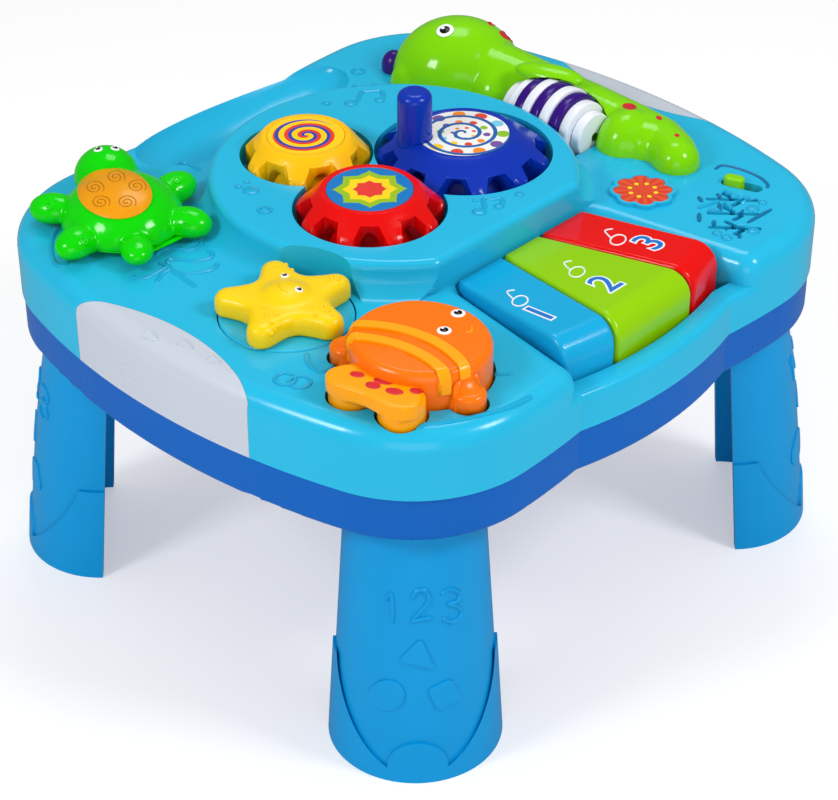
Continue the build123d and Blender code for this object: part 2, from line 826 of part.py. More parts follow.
with BuildPart() as battery_contacts:
    for end in (-1, 1):
        with Locations((end * (box_length / 2 - contact_plate / 2), 0, cell_height)):
            with GridLocations(1, cell_pitch, 1, 3):
                Box(contact_plate, cell_radius, cell_radius)
        with Locations((end * (cell_length / 2 + contact_room / 2 - contact_plate / 2), 0, cell_height)):
            with GridLocations(1, cell_pitch, 1, 3):
                Cylinder(cell_radius / 3, contact_room - contact_plate, rotation=(0, 90, 0))
save(battery_contacts, "battery_contacts")

with BuildPart() as circuit_board:
    with Locations((main_board_x, main_board_y, main_board_bottom)):
        Box(main_board_length, main_board_width, board_thickness, align=BOTTOM)
        with Locations((0, 0, board_thickness)):
            Cylinder(main_board_width / 4, 2 * board_thickness, align=BOTTOM)
save(circuit_board, "circuit_board")

# Gear train: three cone-faced wheels in the podium's wells
gear_bottom = well_floor + gear_lift
gear_top = gear_bottom + gear_height
spindle_end = ceiling - hub_gap - running_gap


def gear_wheel(x, y, teeth, tip, root, turn, label):
    """Toothed wheel with a sloping face, a recess for its label and a spindle below."""
    label_floor = gear_top - label_depth
    with BuildPart() as wheel:
        with BuildSketch(upright(x, y)) as section:
            with BuildLine():
                Polyline(
                    (0, spindle_end),
                    (spindle_radius, spindle_end),
                    (spindle_radius, well_floor + hub_gap),
                    (hub_radius, well_floor + hub_gap),
                    (hub_radius, gear_bottom + gear_rim_height),
                    (root - gear_shell, gear_bottom + gear_rim_height),
                    (root - gear_shell, gear_bottom),
                    (tip + tooth_round, gear_bottom),
                    (tip + tooth_round, gear_bottom + gear_rim_height),
                    (label + label_ring, gear_top),
                    (label, gear_top),
                    (label, label_floor),
                    (0, label_floor),
                    close=True,
                )
            make_face()
            fillet(section.vertices().group_by(Axis.Y)[-1], label_depth / 2)
        revolve(axis=Axis((x, y, 0), (0, 0, 1)))
        with BuildSketch(Plane(origin=(x, y, spindle_end))):
            add(gear_outline(teeth, tip, root, turn))
        extrude(amount=gear_top - spindle_end, mode=Mode.INTERSECT)
        with Locations((x, y, spindle_end)):
            Cylinder(screw_shank + running_gap, screw_grip, align=BOTTOM, mode=Mode.SUBTRACT)
    return wheel.part


def flanged_screw(x, y, top, flange):
    """Screw with a wide flange that holds a spindle from below."""
    with BuildPart() as screw:
        with Locations((x, y, top)):
            Cylinder(flange, screw_flange_thickness, align=TOP)
            Cylinder(screw_shank, screw_grip - screw_end_gap, align=BOTTOM)
    return screw


def gear_label(x, y, radius):
    """Printed disc that lies in a gear's recess."""
    with BuildPart() as disc:
        with Locations((x, y, gear_top - label_depth)):
            Cylinder(radius - seat_gap, label_depth - seat_gap, align=BOTTOM)
    return disc


red_root = min(red_blue_distance - blue_tip, red_yellow_distance - yellow_tip) - mesh_gap
blue_root = red_blue_distance - red_tip - mesh_gap
yellow_root = red_yellow_distance - red_tip - mesh_gap
red_turn = red_blue_angle
blue_turn = red_blue_angle + 180 + 180 / blue_teeth
yellow_shift = (red_turn - red_yellow_angle) * red_teeth / yellow_teeth
yellow_turn = red_yellow_angle + 180 - yellow_shift + 180 / yellow_teeth

with BuildPart() as red_gear:
    add(gear_wheel(red_x, red_y, red_teeth, red_tip, red_root, red_turn, red_label))
save(red_gear, "red_gear")
save(gear_label(red_x, red_y, red_label), "red_gear_label")
save(flanged_screw(red_x, red_y, spindle_end, screw_flange), "red_gear_screw")

with BuildPart() as yellow_gear:
    add(gear_wheel(yellow_x, yellow_y, yellow_teeth, yellow_tip, yellow_root, yellow_turn, yellow_label))
save(yellow_gear, "yellow_gear")
save(gear_label(yellow_x, yellow_y, yellow_label), "yellow_gear_label")
save(flanged_screw(yellow_x, yellow_y, spindle_end, screw_flange), "yellow_gear_screw")

# the blue gear carries the crank knob on a peg at its rim
with BuildPart() as blue_gear:
    add(gear_wheel(blue_x, blue_y, blue_teeth, blue_tip, blue_root, blue_turn, blue_label))
    with Locations((knob_x, knob_y, gear_top - label_depth)):
        Cylinder(knob_radius + seat_gap, gear_height, align=BOTTOM, mode=Mode.SUBTRACT)
        Cylinder(knob_peg + running_gap, knob_peg, align=TOP, mode=Mode.SUBTRACT)
save(blue_gear, "blue_gear")
with BuildPart() as crank_knob:
    with Locations((knob_x, knob_y, gear_bottom + gear_rim_height)):
        Cylinder(knob_radius, knob_height + gear_height - gear_rim_height, align=BOTTOM)
    fillet(crank_knob.edges().group_by(Axis.Z)[-1], knob_round)
    add(blue_gear.part, mode=Mode.SUBTRACT)
save(crank_knob, "crank_knob")
with BuildPart() as blue_gear_label:
    add(gear_label(blue_x, blue_y, blue_label).part)
    with Locations((knob_x, knob_y, gear_bottom)):
        Cylinder(knob_radius + 2 * seat_gap, gear_height, align=BOTTOM, mode=Mode.SUBTRACT)
save(blue_gear_label, "blue_gear_label")
save(flanged_screw(blue_x, blue_y, spindle_end, screw_flange), "blue_gear_screw")

# Keys: three fan-shaped levers side by side on one hinge rod
key_start = notch_y - key_back_gap
key_inset = rim_width + key_gap
key_slope = key_front_rise / (bulge_reach - key_inset + key_start)
outer_edge = notch_half - key_gap
inner_edge = key_split - key_gap / 2
split_edge = key_split + key_gap / 2
key_plans = (
    ("blue_key", -outer_edge, -notch_slope, -split_edge, -key_split_slope),
    ("green_key", -inner_edge, -key_split_slope, inner_edge, key_split_slope),
    ("red_key", split_edge, key_split_slope, outer_edge, notch_slope),
)


def key_corner(side, slope, inset):
    """Front corner of a key whose edge starts at side and fans out by slope."""
    x = keyboard_x + side + slope * (bulge_reach - inset + key_start)
    y = bulge_radius - bulge_reach + inset - sqrt(max(bulge_radius**2 - x**2, 0))
    return (keyboard_x + side + slope * (key_start - y), y)


def key_prism(left, left_slope, right, right_slope, start, inset, height):
    """Upright prism over the four-cornered plan of a key."""
    with BuildPart() as prism:
        with BuildSketch(Plane.XY.offset(key_bottom)):
            with BuildLine():
                Polyline(
                    (keyboard_x + left, start),
                    (keyboard_x + right, start),
                    key_corner(right, right_slope, inset),
                    key_corner(left, left_slope, inset),
                    close=True,
                )
            make_face()
        extrude(amount=height)
    return prism.part


for node, left, left_slope, right, right_slope in key_plans:
    reach = key_start - key_plunger_y
    middle = keyboard_x + (left + right) / 2
    plunger_x = middle + (left_slope + right_slope) * reach / 2
    with BuildPart() as key:
        add(key_prism(left, left_slope, right, right_slope, key_start, key_inset, podium_height - key_bottom))
        split(bisect_by=Plane(origin=(0, key_start, top_height), z_dir=(0, key_slope, 1)), keep=Keep.BOTTOM)
        fillet(key.faces().sort_by(Axis.Z)[-1].edges().sort_by(Axis.Y)[0], key_front_round)
        lid = key.faces().filter_by(GeomType.PLANE).sort_by(Axis.Z)[-1]
        fillet(lid.edges().sort_by(Axis.Y)[1:3], key_side_round)
        # hollow underside
        hollow_inset = key_inset + key_front_round
        inner = (left + key_wall, left_slope, right - key_wall, right_slope)
        add(key_prism(*inner, key_start - key_wall, hollow_inset, key_hollow), mode=Mode.SUBTRACT)
        # hinge barrel and its bore, and the post that presses the switch
        with Locations(Location((middle, key_hinge_y, key_hinge_z), (0, 90, 0))):
            Cylinder(hinge_barrel, right - left - key_wall)
            Cylinder(hinge_rod_radius + running_gap, 2 * hinge_rod_length, mode=Mode.SUBTRACT)
        with Locations((plunger_x, key_plunger_y, key_bottom)):
            Cylinder(key_plunger_radius, key_hollow + post_root, align=BOTTOM)
    save(key, node)
    with BuildPart() as key_dome:
        with Locations((plunger_x, key_plunger_y, pocket_floor)):
            Cone(dome_radius, dome_radius * dome_taper, key_bottom - pocket_floor - hub_gap, align=BOTTOM)
    save(key_dome, node + "_dome")

with BuildPart() as key_hinge_rod:
    with Locations(Location((keyboard_x, key_hinge_y, key_hinge_z), (0, 90, 0))):
        Cylinder(hinge_rod_radius, hinge_rod_length - 2 * hub_gap)
save(key_hinge_rod, "key_hinge_rod")

# Starfish turntable
disc_bottom = cup_floor + cup_wall + hub_gap
disc_top = disc_bottom + star_disc_thickness
star_spindle_end = cup_floor - hub_gap - running_gap
with BuildPart() as star_disc:
    with Locations((star_x, star_y, disc_bottom)):
        Cylinder(star_disc_radius, star_disc_thickness, align=BOTTOM)
    fillet(star_disc.edges().group_by(Axis.Z)[-1], star_disc_round)
    with Locations((star_x, star_y, star_spindle_end)):
        Cylinder(spindle_radius, disc_bottom - star_spindle_end, align=BOTTOM)
        Cylinder(screw_shank + running_gap, screw_grip, align=BOTTOM, mode=Mode.SUBTRACT)
save(star_disc, "star_disc")
save(flanged_screw(star_x, star_y, star_spindle_end, screw_flange), "star_screw")
with BuildPart() as starfish:
    with BuildSketch(turned(star_x, star_y, disc_top, star_heading)) as star_plan:
        with PolarLocations(0, star_arms):
            Polygon(
                (0, star_core),
                (star_arm - star_tip, star_tip),
                (star_arm - star_tip, -star_tip),
                (0, -star_core),
                align=None,
            )
            with Locations((star_arm - star_tip, 0)):
                Circle(star_tip)
        valleys = star_plan.vertices().sort_by_distance((0, 0))[:star_arms]
        fillet(valleys, star_tip)
    extrude(amount=star_arm_rise)
    fillet(starfish.edges().group_by(Axis.Z)[-1], star_round)
    add(ellipsoid(star_x, star_y, disc_top, star_heading, (star_core, star_core, star_rise)))
    with Locations((star_x, star_y, disc_top)):
        Cylinder(star_arm, star_rise, align=TOP, mode=Mode.SUBTRACT)
save(starfish, "starfish")

# Turtle button: shell, head, flippers and tail on one stem, with a lamp under an amber lens
turtle_base = top_height + turtle_lift
turtle_stem_end = ceiling - hub_gap - running_gap
shell_size = (turtle_shell_radius * turtle_stretch, turtle_shell_radius, turtle_shell_rise)


def turtle_dome(sink):
    """Egg-shaped outside of the turtle's shell, sunk by sink."""
    size = (shell_size[0] - sink, shell_size[1] - sink, shell_size[2] - sink)
    return ellipsoid(turtle_x, turtle_y, turtle_base, turtle_heading, size)


turtle_limbs = (
    (0, turtle_head_reach, turtle_head_size),
    (turtle_fore_angle, turtle_flipper_reach, turtle_flipper_size),
    (-turtle_fore_angle, turtle_flipper_reach, turtle_flipper_size),
    (turtle_hind_angle, turtle_flipper_reach, turtle_flipper_size),
    (-turtle_hind_angle, turtle_flipper_reach, turtle_flipper_size),
    (180, turtle_tail_reach, turtle_tail_size),
)
with BuildPart() as lens_pocket:
    with Locations((turtle_x, turtle_y, turtle_base + turtle_shell_rise / 2)):
        Cylinder(lens_radius + seat_gap, turtle_shell_rise, align=BOTTOM)
    add(turtle_dome(lens_thickness + seat_gap), mode=Mode.SUBTRACT)
with BuildPart() as turtle_body:
    add(turtle_dome(0))
    for angle, reach, size in turtle_limbs:
        x, y = ahead(turtle_x, turtle_y, turtle_heading + angle, reach)
        add(ellipsoid(x, y, turtle_base + size[2] / 2, turtle_heading + angle, size))
    with Locations((turtle_x, turtle_y, turtle_base)):
        Cylinder(3 * turtle_shell_radius, top_height, align=TOP, mode=Mode.SUBTRACT)
    with Locations((turtle_x, turtle_y, turtle_stem_end)):
        Cylinder(turtle_stem, turtle_base - turtle_stem_end, align=BOTTOM)
        Cylinder(screw_shank + running_gap, screw_grip, align=BOTTOM, mode=Mode.SUBTRACT)
    add(lens_pocket.part, mode=Mode.SUBTRACT)
save(turtle_body, "turtle_body")

with BuildPart() as turtle_lens:
    with Locations((turtle_x, turtle_y, turtle_base + turtle_shell_rise / 2)):
        Cylinder(lens_radius, turtle_shell_rise, align=BOTTOM)
    add(turtle_dome(0), mode=Mode.INTERSECT)
    add(turtle_dome(lens_thickness), mode=Mode.SUBTRACT)
save(turtle_lens, "turtle_lens")
save(flanged_screw(turtle_x, turtle_y, turtle_stem_end, turtle_flange), "turtle_screw")


def button_dome(x, y, top):
    """Rubber dome on a button board that a stem presses."""
    with BuildPart() as dome:
        with Locations((x, y, button_board_top)):
            Cone(dome_radius, dome_radius * dome_taper, top - button_board_top, align=BOTTOM)
    return dome


save(button_dome(turtle_x, turtle_y, turtle_stem_end - screw_flange_thickness - hub_gap), "turtle_dome")
with BuildPart() as turtle_board:
    with BuildSketch(Plane.XY.offset(button_board_top - board_thickness)):
        with Locations((turtle_x, turtle_y)):
            RectangleRounded(turtle_board_length, turtle_board_width, board_post_radius)
    extrude(amount=board_thickness)
save(turtle_board, "turtle_board")

# Fish button: body with fins on a wide flange, a two-lobed tail and two stripes that wrap over it
fish_top = top_height + fish_rise


def fish_solid(grow):
    """Rounded oval body of the fish above its flange, grown by grow."""
    with BuildPart() as oval:
        with BuildSketch(turned(fish_x, fish_y, fish_flange_top, fish_heading)):
            Ellipse(fish_half_length + grow, fish_half_width + grow)
        extrude(amount=fish_top + grow - fish_flange_top)
        fillet(oval.edges().group_by(Axis.Z)[-1], fish_round + grow)
    return oval.part


def fish_fins():
    """Two round side fins, lower than the body."""
    with BuildPart() as fins:
        with BuildSketch(turned(fish_x, fish_y, fish_flange_top, fish_heading)):
            with Locations((-fish_fin_back, fish_half_width), (-fish_fin_back, -fish_half_width)):
                Circle(fish_fin_radius)
        extrude(amount=top_height + fish_fin_rise - fish_flange_top)
        fillet(fins.edges().group_by(Axis.Z)[-1], fish_tail_round)
    return fins.part


with BuildPart() as fish_body:
    add(fish_solid(0))
    add(fish_fins())
    with BuildSketch(turned(fish_x, fish_y, fish_flange_top, fish_heading)):
        fish_body_shapes(fish_gap + fish_flange, False)
        fish_tail_shapes(0)
    extrude(amount=-fish_flange_thickness)
    with Locations((fish_x, fish_y, fish_stem_end)):
        Cylinder(fish_stem_radius, fish_flange_top - fish_stem_end, align=BOTTOM)
save(fish_body, "fish_body")
with BuildPart() as fish_tail:
    with BuildSketch(turned(fish_x, fish_y, fish_flange_top, fish_heading)):
        with Locations((-fish_tail_offset, fish_tail_half), (-fish_tail_offset, -fish_tail_half)):
            Circle(fish_tail_lobe)
    extrude(amount=top_height + fish_tail_rise - fish_flange_top)
    fillet(fish_tail.edges().group_by(Axis.Z)[-1], fish_tail_round)
    with BuildSketch(turned(fish_x, fish_y, fish_flange_top, fish_heading)):
        with Locations((-fish_tail_offset + fish_tail_lobe, 0)):
            Rectangle(2 * fish_tail_lobe, 2 * fish_tail_half)
    extrude(amount=top_height + fish_tail_rise - fish_tail_edge - fish_flange_top)
    with BuildSketch(turned(fish_x, fish_y, fish_flange_top, fish_heading)):
        Ellipse(fish_half_length + seat_gap, fish_half_width + seat_gap)
    extrude(amount=fish_rise + 2 * top_wall, mode=Mode.SUBTRACT)
save(fish_tail, "fish_tail")
with BuildPart() as fish_stripes:
    with BuildSketch(turned(fish_x, fish_y, top_height + fish_stripe, fish_heading)):
        for front in fish_stripe_fronts:
            with Locations((front - fish_stripe_bow, 0)):
                Circle(fish_stripe_bow)
                Circle(fish_stripe_bow - fish_stripe, mode=Mode.SUBTRACT)
        Rectangle(2 * fish_half_length, 4 * fish_half_width, mode=Mode.INTERSECT)
    extrude(amount=fish_rise)
    add(fish_solid(fish_stripe_relief), mode=Mode.INTERSECT)
    add(fish_solid(0), mode=Mode.SUBTRACT)
    add(fish_fins(), mode=Mode.SUBTRACT)
save(fish_stripes, "fish_stripes")
save(button_dome(fish_x, fish_y, fish_stem_end - hub_gap), "fish_dome")
with BuildPart() as fish_board:
    with BuildSketch(Plane.XY.offset(button_board_top - board_thickness)):
        with Locations((fish_x + fish_board_shift, fish_y)):
            RectangleRounded(fish_board_length, fish_board_width, 2 * board_post_radius)
    extrude(amount=board_thickness)
save(fish_board, "fish_board")

# Seahorse: a long animal lying round its ribbed roller
with BuildPart() as seahorse_body:
    add(ellipsoid(sea_head_x, sea_head_y, top_height, sea_head_heading, sea_head_size))
    with BuildSketch(Plane(origin=(sea_body_x, 0, top_height), x_dir=(0, 1, 0), z_dir=(1, 0, 0))):
        with BuildLine():
            Spline(
                (sea_body_front, sea_body_front_radius),
                (0, sea_body_radius),
                (sea_body_rear, sea_body_rear_radius),
                tangents=((1, 0.2), (1, -0.2)),
            )
            Polyline(
                (sea_body_rear, sea_body_rear_radius),
                (sea_body_rear, 0),
                (sea_body_front, 0),
                (sea_body_front, sea_body_front_radius),
            )
        make_face()
    revolve(axis=Axis((sea_body_x, 0, top_height), (0, 1, 0)))
    with Locations((sea_tail_x, sea_tail_y, top_height), (sea_neck_x, sea_neck_y, top_height)):
        Sphere(sea_tail_radius)
    with Locations((sea_cheek_x, sea_cheek_y, top_height)):
        Sphere(sea_cheek_radius)
    with Locations((sea_body_x, 0, top_height)):
        Cylinder(podium_height, podium_height, align=TOP, mode=Mode.SUBTRACT)
    add(podium.part, mode=Mode.SUBTRACT)
    add(barrel(drum_gap), mode=Mode.SUBTRACT)
    with Locations(Location((drum_x, (drum_front + drum_rear) / 2, drum_z), (90, 0, 0))):
        Cylinder(axle_radius + running_gap, axle_length, mode=Mode.SUBTRACT)
save(seahorse_body, "seahorse_body")
with BuildPart() as seahorse_crest:
    with Locations((crest_x, crest_y, top_height)):
        Sphere(crest_radius)
        Cylinder(2 * crest_radius, 2 * crest_radius, align=TOP, mode=Mode.SUBTRACT)
    add(seahorse_body.part, mode=Mode.SUBTRACT)
save(seahorse_crest, "seahorse_crest")
with BuildPart() as seahorse_drum:
    add(barrel(0))
    rib = (drum_rear - drum_front) / drum_ribs
    for ring in range(1, drum_ribs):
        with Locations(Location((drum_x, drum_front + ring * rib, drum_z), (90, 0, 0))):
            Cylinder(2 * drum_radius, drum_groove, mode=Mode.SUBTRACT)
    add(barrel(-drum_groove_depth))
    with Locations(Location((drum_x, (drum_front + drum_rear) / 2, drum_z), (90, 0, 0))):
        Cylinder(axle_radius + running_gap, 2 * axle_length, mode=Mode.SUBTRACT)
save(seahorse_drum, "seahorse_drum")
with BuildPart() as drum_axle:
    with Locations(Location((drum_x, (drum_front + drum_rear) / 2, drum_z), (90, 0, 0))):
        Cylinder(axle_radius, axle_length - 2 * hub_gap)
save(drum_axle, "drum_axle")

# Badge, loudspeaker and switch
with BuildPart() as shell_badge:
    with BuildSketch(Plane.XY.offset(top_height)):
        add(badge_plan(0))
    extrude(amount=badge_thickness)
save(shell_badge, "shell_badge")

with BuildPart() as speaker_frame:
    with BuildSketch(upright(speaker_x, speaker_y)):
        with BuildLine():
            Polyline(
                (speaker_cone_radius, ceiling),
                (speaker_radius, ceiling),
                (speaker_radius, ceiling - board_thickness),
                (speaker_magnet, ceiling - speaker_basket),
                (speaker_magnet, ceiling - speaker_depth),
                (0, ceiling - speaker_depth),
                (0, ceiling - speaker_basket + board_thickness),
                (speaker_magnet, ceiling - speaker_basket + board_thickness),
                close=True,
            )
        make_face()
    revolve(axis=Axis((speaker_x, speaker_y, 0), (0, 0, 1)))
save(speaker_frame, "speaker_frame")
with BuildPart() as speaker_cone:
    with Locations((speaker_x, speaker_y, ceiling - speaker_basket + board_thickness)):
        Cone(speaker_magnet, speaker_cone_radius - screw_end_gap, speaker_cone_rise, align=BOTTOM)
save(speaker_cone, "speaker_cone")

switch_start = -switch_travel / 2
with BuildPart() as switch_slider:
    with BuildSketch(turned(switch_x, switch_y, ceiling - hub_gap, switch_heading)):
        with Locations((switch_start, 0)):
            SlotOverall(switch_thumb_length + 2 * fish_flange, switch_slot_width + 2 * fish_flange)
    extrude(amount=-switch_flange)
    with BuildSketch(turned(switch_x, switch_y, ceiling - hub_gap, switch_heading)):
        with Locations((switch_start, 0)):
            SlotOverall(switch_thumb_length, switch_slot_width - 2 * hub_gap)
    extrude(amount=top_wall + hub_gap + switch_thumb_rise)
    fillet(switch_slider.edges().group_by(Axis.Z)[-1], switch_thumb_round)
save(switch_slider, "switch_slider")
with BuildPart() as switch_body:
    with BuildSketch(turned(switch_x, switch_y, ceiling - 2 * hub_gap - switch_flange, switch_heading)):
        Rectangle(switch_body_length, switch_slot_width + 2 * hub_gap)
    extrude(amount=-switch_body_depth)
    with BuildSketch(turned(switch_x, switch_y, ceiling, switch_heading)):
        with GridLocations(switch_body_length - 2 * hub_gap - switch_flange, 1, 2, 1):
            Rectangle(switch_flange, switch_slot_width)
    extrude(amount=-switch_body_depth)
save(switch_body, "switch_body")
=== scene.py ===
"""Finishes, moulded forms, faces and prints of a toddler's activity table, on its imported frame."""

import logging
import math
from dataclasses import dataclass, field
from enum import Enum
from typing import Iterable, Sequence

import bpy
from mathutils import Matrix, Vector


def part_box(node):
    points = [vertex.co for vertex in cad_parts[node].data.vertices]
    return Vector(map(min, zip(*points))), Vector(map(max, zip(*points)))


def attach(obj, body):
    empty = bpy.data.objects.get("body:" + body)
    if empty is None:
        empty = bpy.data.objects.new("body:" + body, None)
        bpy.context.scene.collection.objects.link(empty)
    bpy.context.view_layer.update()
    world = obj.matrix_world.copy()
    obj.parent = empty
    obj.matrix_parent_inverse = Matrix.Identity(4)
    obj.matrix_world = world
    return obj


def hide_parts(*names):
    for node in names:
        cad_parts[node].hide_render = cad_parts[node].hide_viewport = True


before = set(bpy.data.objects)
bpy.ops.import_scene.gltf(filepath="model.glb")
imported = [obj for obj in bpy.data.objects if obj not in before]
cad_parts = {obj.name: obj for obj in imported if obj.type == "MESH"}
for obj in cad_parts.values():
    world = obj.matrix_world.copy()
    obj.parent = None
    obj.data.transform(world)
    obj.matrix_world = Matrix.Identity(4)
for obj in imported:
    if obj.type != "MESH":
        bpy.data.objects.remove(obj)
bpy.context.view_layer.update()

log = logging.getLogger("activity_table")

MM = 0.001
UPWARD = Vector((0.0, 0.0, 1.0))
WHITE_LIGHT = (1.0, 1.0, 1.0, 1.0)
CLOUD_SCALE = 28.0
GRAIN_SHARE = 0.35
SKIN_DEPTH = 0.2 * MM
GLOW_REACH = (0.004, 0.003, 0.002)
# Places of the two colours among a mix node's inputs.
MIX_UNDER, MIX_OVER = 6, 7
# Points of a CAD mesh nearer than this, in metres, are merged.
CAD_SEAM = 1e-5
# Crease angle of melted forms in degrees, and points round a turned form.
SOFT_CREASE = 70.0
ROUND_POINTS = 72
# How deep beads and hoops are sunk, as shares of a bead's rise and a hoop's section radius.
BEAD_FOOT = 0.55
HOOP_FOOT = 0.7
# Thickness of a raised line at its ends, and what it gains at each point inward.
TIP_SHARE = 0.55
TIP_STEP = 0.25
# Bevel of a raised plate, as a share of its rise.
PLATE_BEVEL = 0.3
SMILE_LINE = 0.4 * MM
SPOT_RISE = 0.15 * MM
SPOT_DEPTH = 0.4 * MM
# Ends of the roller along Y in millimetres, and the number of its ribs.
ROLLER_FRONT = -19.4
ROLLER_REAR = 25.6
ROLLER_RIBS = 9

Colour = tuple[int, int, int]
Pixel = tuple[float, float]
Triple = tuple[float, float, float]
Lump = tuple[Triple, Triple, float]
Seat = tuple[Vector, Vector]
DotRing = tuple[float, int, float]
Socket = bpy.types.NodeSocket
Tree = bpy.types.NodeTree
Thing = bpy.types.Object


class Body(Enum):
    """Bodies of the frame that the added pieces ride on."""

    TABLE = "table"
    BLUE_KEY = "blue_key_lever"
    GREEN_KEY = "green_key_lever"
    RED_KEY = "red_key_lever"
    TURTLE = "turtle_button"
    FISH = "fish_button"
    STAR = "star_turntable"
    ROLLER = "belly_roller"
    BLUE_GEAR = "blue_gear_set"
    RED_GEAR = "red_gear_set"
    YELLOW_GEAR = "yellow_gear_set"


class Blend(Enum):
    """Ways to combine two closed meshes."""

    CUT = "DIFFERENCE"
    UNITE = "UNION"


def clear_selection() -> None:
    """Leave edit mode and deselect everything."""
    if bpy.context.object and bpy.context.object.mode != "OBJECT":
        bpy.ops.object.mode_set(mode="OBJECT")
    bpy.ops.object.select_all(action="DESELECT")


def pick(thing: Thing) -> Thing:
    """Make one object the only selected and active one."""
    clear_selection()
    thing.select_set(True)
    bpy.context.view_layer.objects.active = thing
    return thing


def edit_all(thing: Thing) -> None:
    """Open an object in edit mode with all of its mesh selected."""
    pick(thing)
    bpy.ops.object.mode_set(mode="EDIT")
    bpy.ops.mesh.select_all(action="SELECT")


def settle(thing: Thing, name: str) -> Thing:
    """Put an object's place into its mesh and name it.

    Args:
        thing: Object that stands where it belongs.
        name: Piece name, also given to the mesh.

    Returns:
        The same object, at the origin, unturned and unscaled.
    """
    pick(thing)
    bpy.ops.object.transform_apply(location=True, rotation=True, scale=True)
    thing.name = name
    thing.data.name = name
    return thing


def close_mesh(thing: Thing, gap: float = 1e-6) -> None:
    """Merge doubled points and turn all faces outward.

    Args:
        thing: Mesh object to clean.
        gap: Points nearer than this, in metres, are merged.
    """
    edit_all(thing)
    bpy.ops.mesh.remove_doubles(threshold=gap)
    bpy.ops.mesh.normals_make_consistent(inside=False)
    bpy.ops.object.mode_set(mode="OBJECT")


def apply_modifier(thing: Thing, kind: str, **settings) -> None:
    """Add a modifier with its settings and apply it.

    Args:
        thing: Mesh object to change.
        kind: Modifier type.
        **settings: Values of the modifier's own properties.
    """
    pick(thing)
    modifier = thing.modifiers.new(kind.lower(), kind)
    for key, value in settings.items():
        setattr(modifier, key, value)
    bpy.ops.object.modifier_apply(modifier=modifier.name)


def join(things: Sequence[Thing], name: str) -> Thing:
    """Join several finished meshes into one piece.

    Args:
        things: Mesh objects, the first of which stays.
        name: Name of the joined piece.

    Returns:
        The joined object.
    """
    pick(things[0])
    for thing in things[1:]:
        thing.select_set(True)
    bpy.ops.object.join()
    return settle(things[0], name)


def cut(form: Thing, point: Triple, normal: Sequence[float], ahead: bool = True) -> Thing:
    """Cut a form by a plane, keep one side of it and close it there.

    Args:
        form: Mesh to cut.
        point: Point of the plane in metres.
        normal: Direction that the plane faces.
        ahead: True to keep the side that the plane faces, False to keep the other one.

    Returns:
        The cut form.
    """
    edit_all(form)
    bpy.ops.mesh.bisect(
        plane_co=point, plane_no=normal, use_fill=True, clear_inner=ahead, clear_outer=not ahead
    )
    bpy.ops.object.mode_set(mode="OBJECT")
    return form


def combine(form: Thing, tool: Thing, blend: Blend = Blend.CUT) -> Thing:
    """Cut one closed mesh out of another, or unite them, and throw the tool away.

    Args:
        form: Mesh that stays.
        tool: Mesh that marks what goes or what is added.
        blend: Whether the tool is cut out or added.

    Returns:
        The combined form.
    """
    apply_modifier(form, "BOOLEAN", operation=blend.value, object=tool, solver="EXACT")
    bpy.data.objects.remove(tool)
    close_mesh(form)
    return form


@dataclass(frozen=True)
class PhotoView:
    """The photograph's camera, fitted to the table's outline and gears."""

    width: int = 838
    height: int = 800
    focal: float = 2500.0
    azimuth: float = -46.763
    elevation: float = 34.58
    distance: float = 1.0949
    target: Triple = (0.0028, 0.00263, 0.06023)
    sensor: float = 36.0
    search: int = 14
    search_turns: int = 12

    def back(self) -> Vector:
        """Direction from the table to the camera."""
        turn = math.radians(self.azimuth)
        lift = math.radians(self.elevation)
        level = math.cos(lift)
        return Vector((math.sin(turn) * level, -math.cos(turn) * level, math.sin(lift)))

    def eye(self) -> Vector:
        """Place of the camera."""
        return Vector(self.target) + self.back() * self.distance

    def ray(self, pixel: Pixel) -> Vector:
        """Direction from the camera through a pixel of the photograph."""
        forward = -self.back()
        right = forward.cross(UPWARD).normalized()
        up = right.cross(forward)
        across = (pixel[0] - self.width / 2) / self.focal
        down = (pixel[1] - self.height / 2) / self.focal
        return (forward + right * across - up * down).normalized()

    def touch(self, carrier: Thing, pixel: Pixel) -> Seat:
        """Find where a pixel falls on a piece, or the nearest pixel that does.

        Args:
            carrier: Mesh object that is seen at the pixel.
            pixel: Place in the photograph's 838 by 800 frame.

        Returns:
            The point on the surface and the outward normal there.
        """
        for reach in range(self.search):
            for step in range(self.search_turns if reach else 1):
                turn = math.tau * step / self.search_turns
                near = (pixel[0] + reach * math.cos(turn), pixel[1] + reach * math.sin(turn))
                hit, point, normal, _ = carrier.ray_cast(self.eye(), self.ray(near))
                if hit:
                    return point, normal if normal.dot(self.back()) > 0 else -normal
        raise ValueError(f"{carrier.name} isn't seen near pixel {pixel}")

    def place(self) -> None:
        """Add the camera and make it the scene's own."""
        clear_selection()
        bpy.ops.object.camera_add(location=self.eye())
        camera = bpy.context.object
        camera.name = "photo_camera"
        camera.rotation_euler = self.back().to_track_quat("Z", "Y").to_euler()
        camera.data.sensor_width = self.sensor
        camera.data.lens = self.focal * self.sensor / self.width
        bpy.context.scene.camera = camera


VIEW = PhotoView()


def linear(colour: Colour) -> tuple[float, float, float, float]:
    """Turn a screen colour of 0 to 255 into the linear one that a node takes."""
    shares = [part / 255 for part in colour]
    flat = [s / 12.92 if s <= 0.04045 else ((s + 0.055) / 1.055) ** 2.4 for s in shares]
    return (flat[0], flat[1], flat[2], 1.0)


def feed(tree: Tree, socket: Socket, value: object) -> None:
    """Link a socket to another one, or set its own value.

    Args:
        tree: Node tree that holds the socket.
        socket: Input to feed.
        value: Output socket to link, or a plain value.
    """
    if isinstance(value, bpy.types.NodeSocket):
        tree.links.new(value, socket)
    else:
        socket.default_value = value


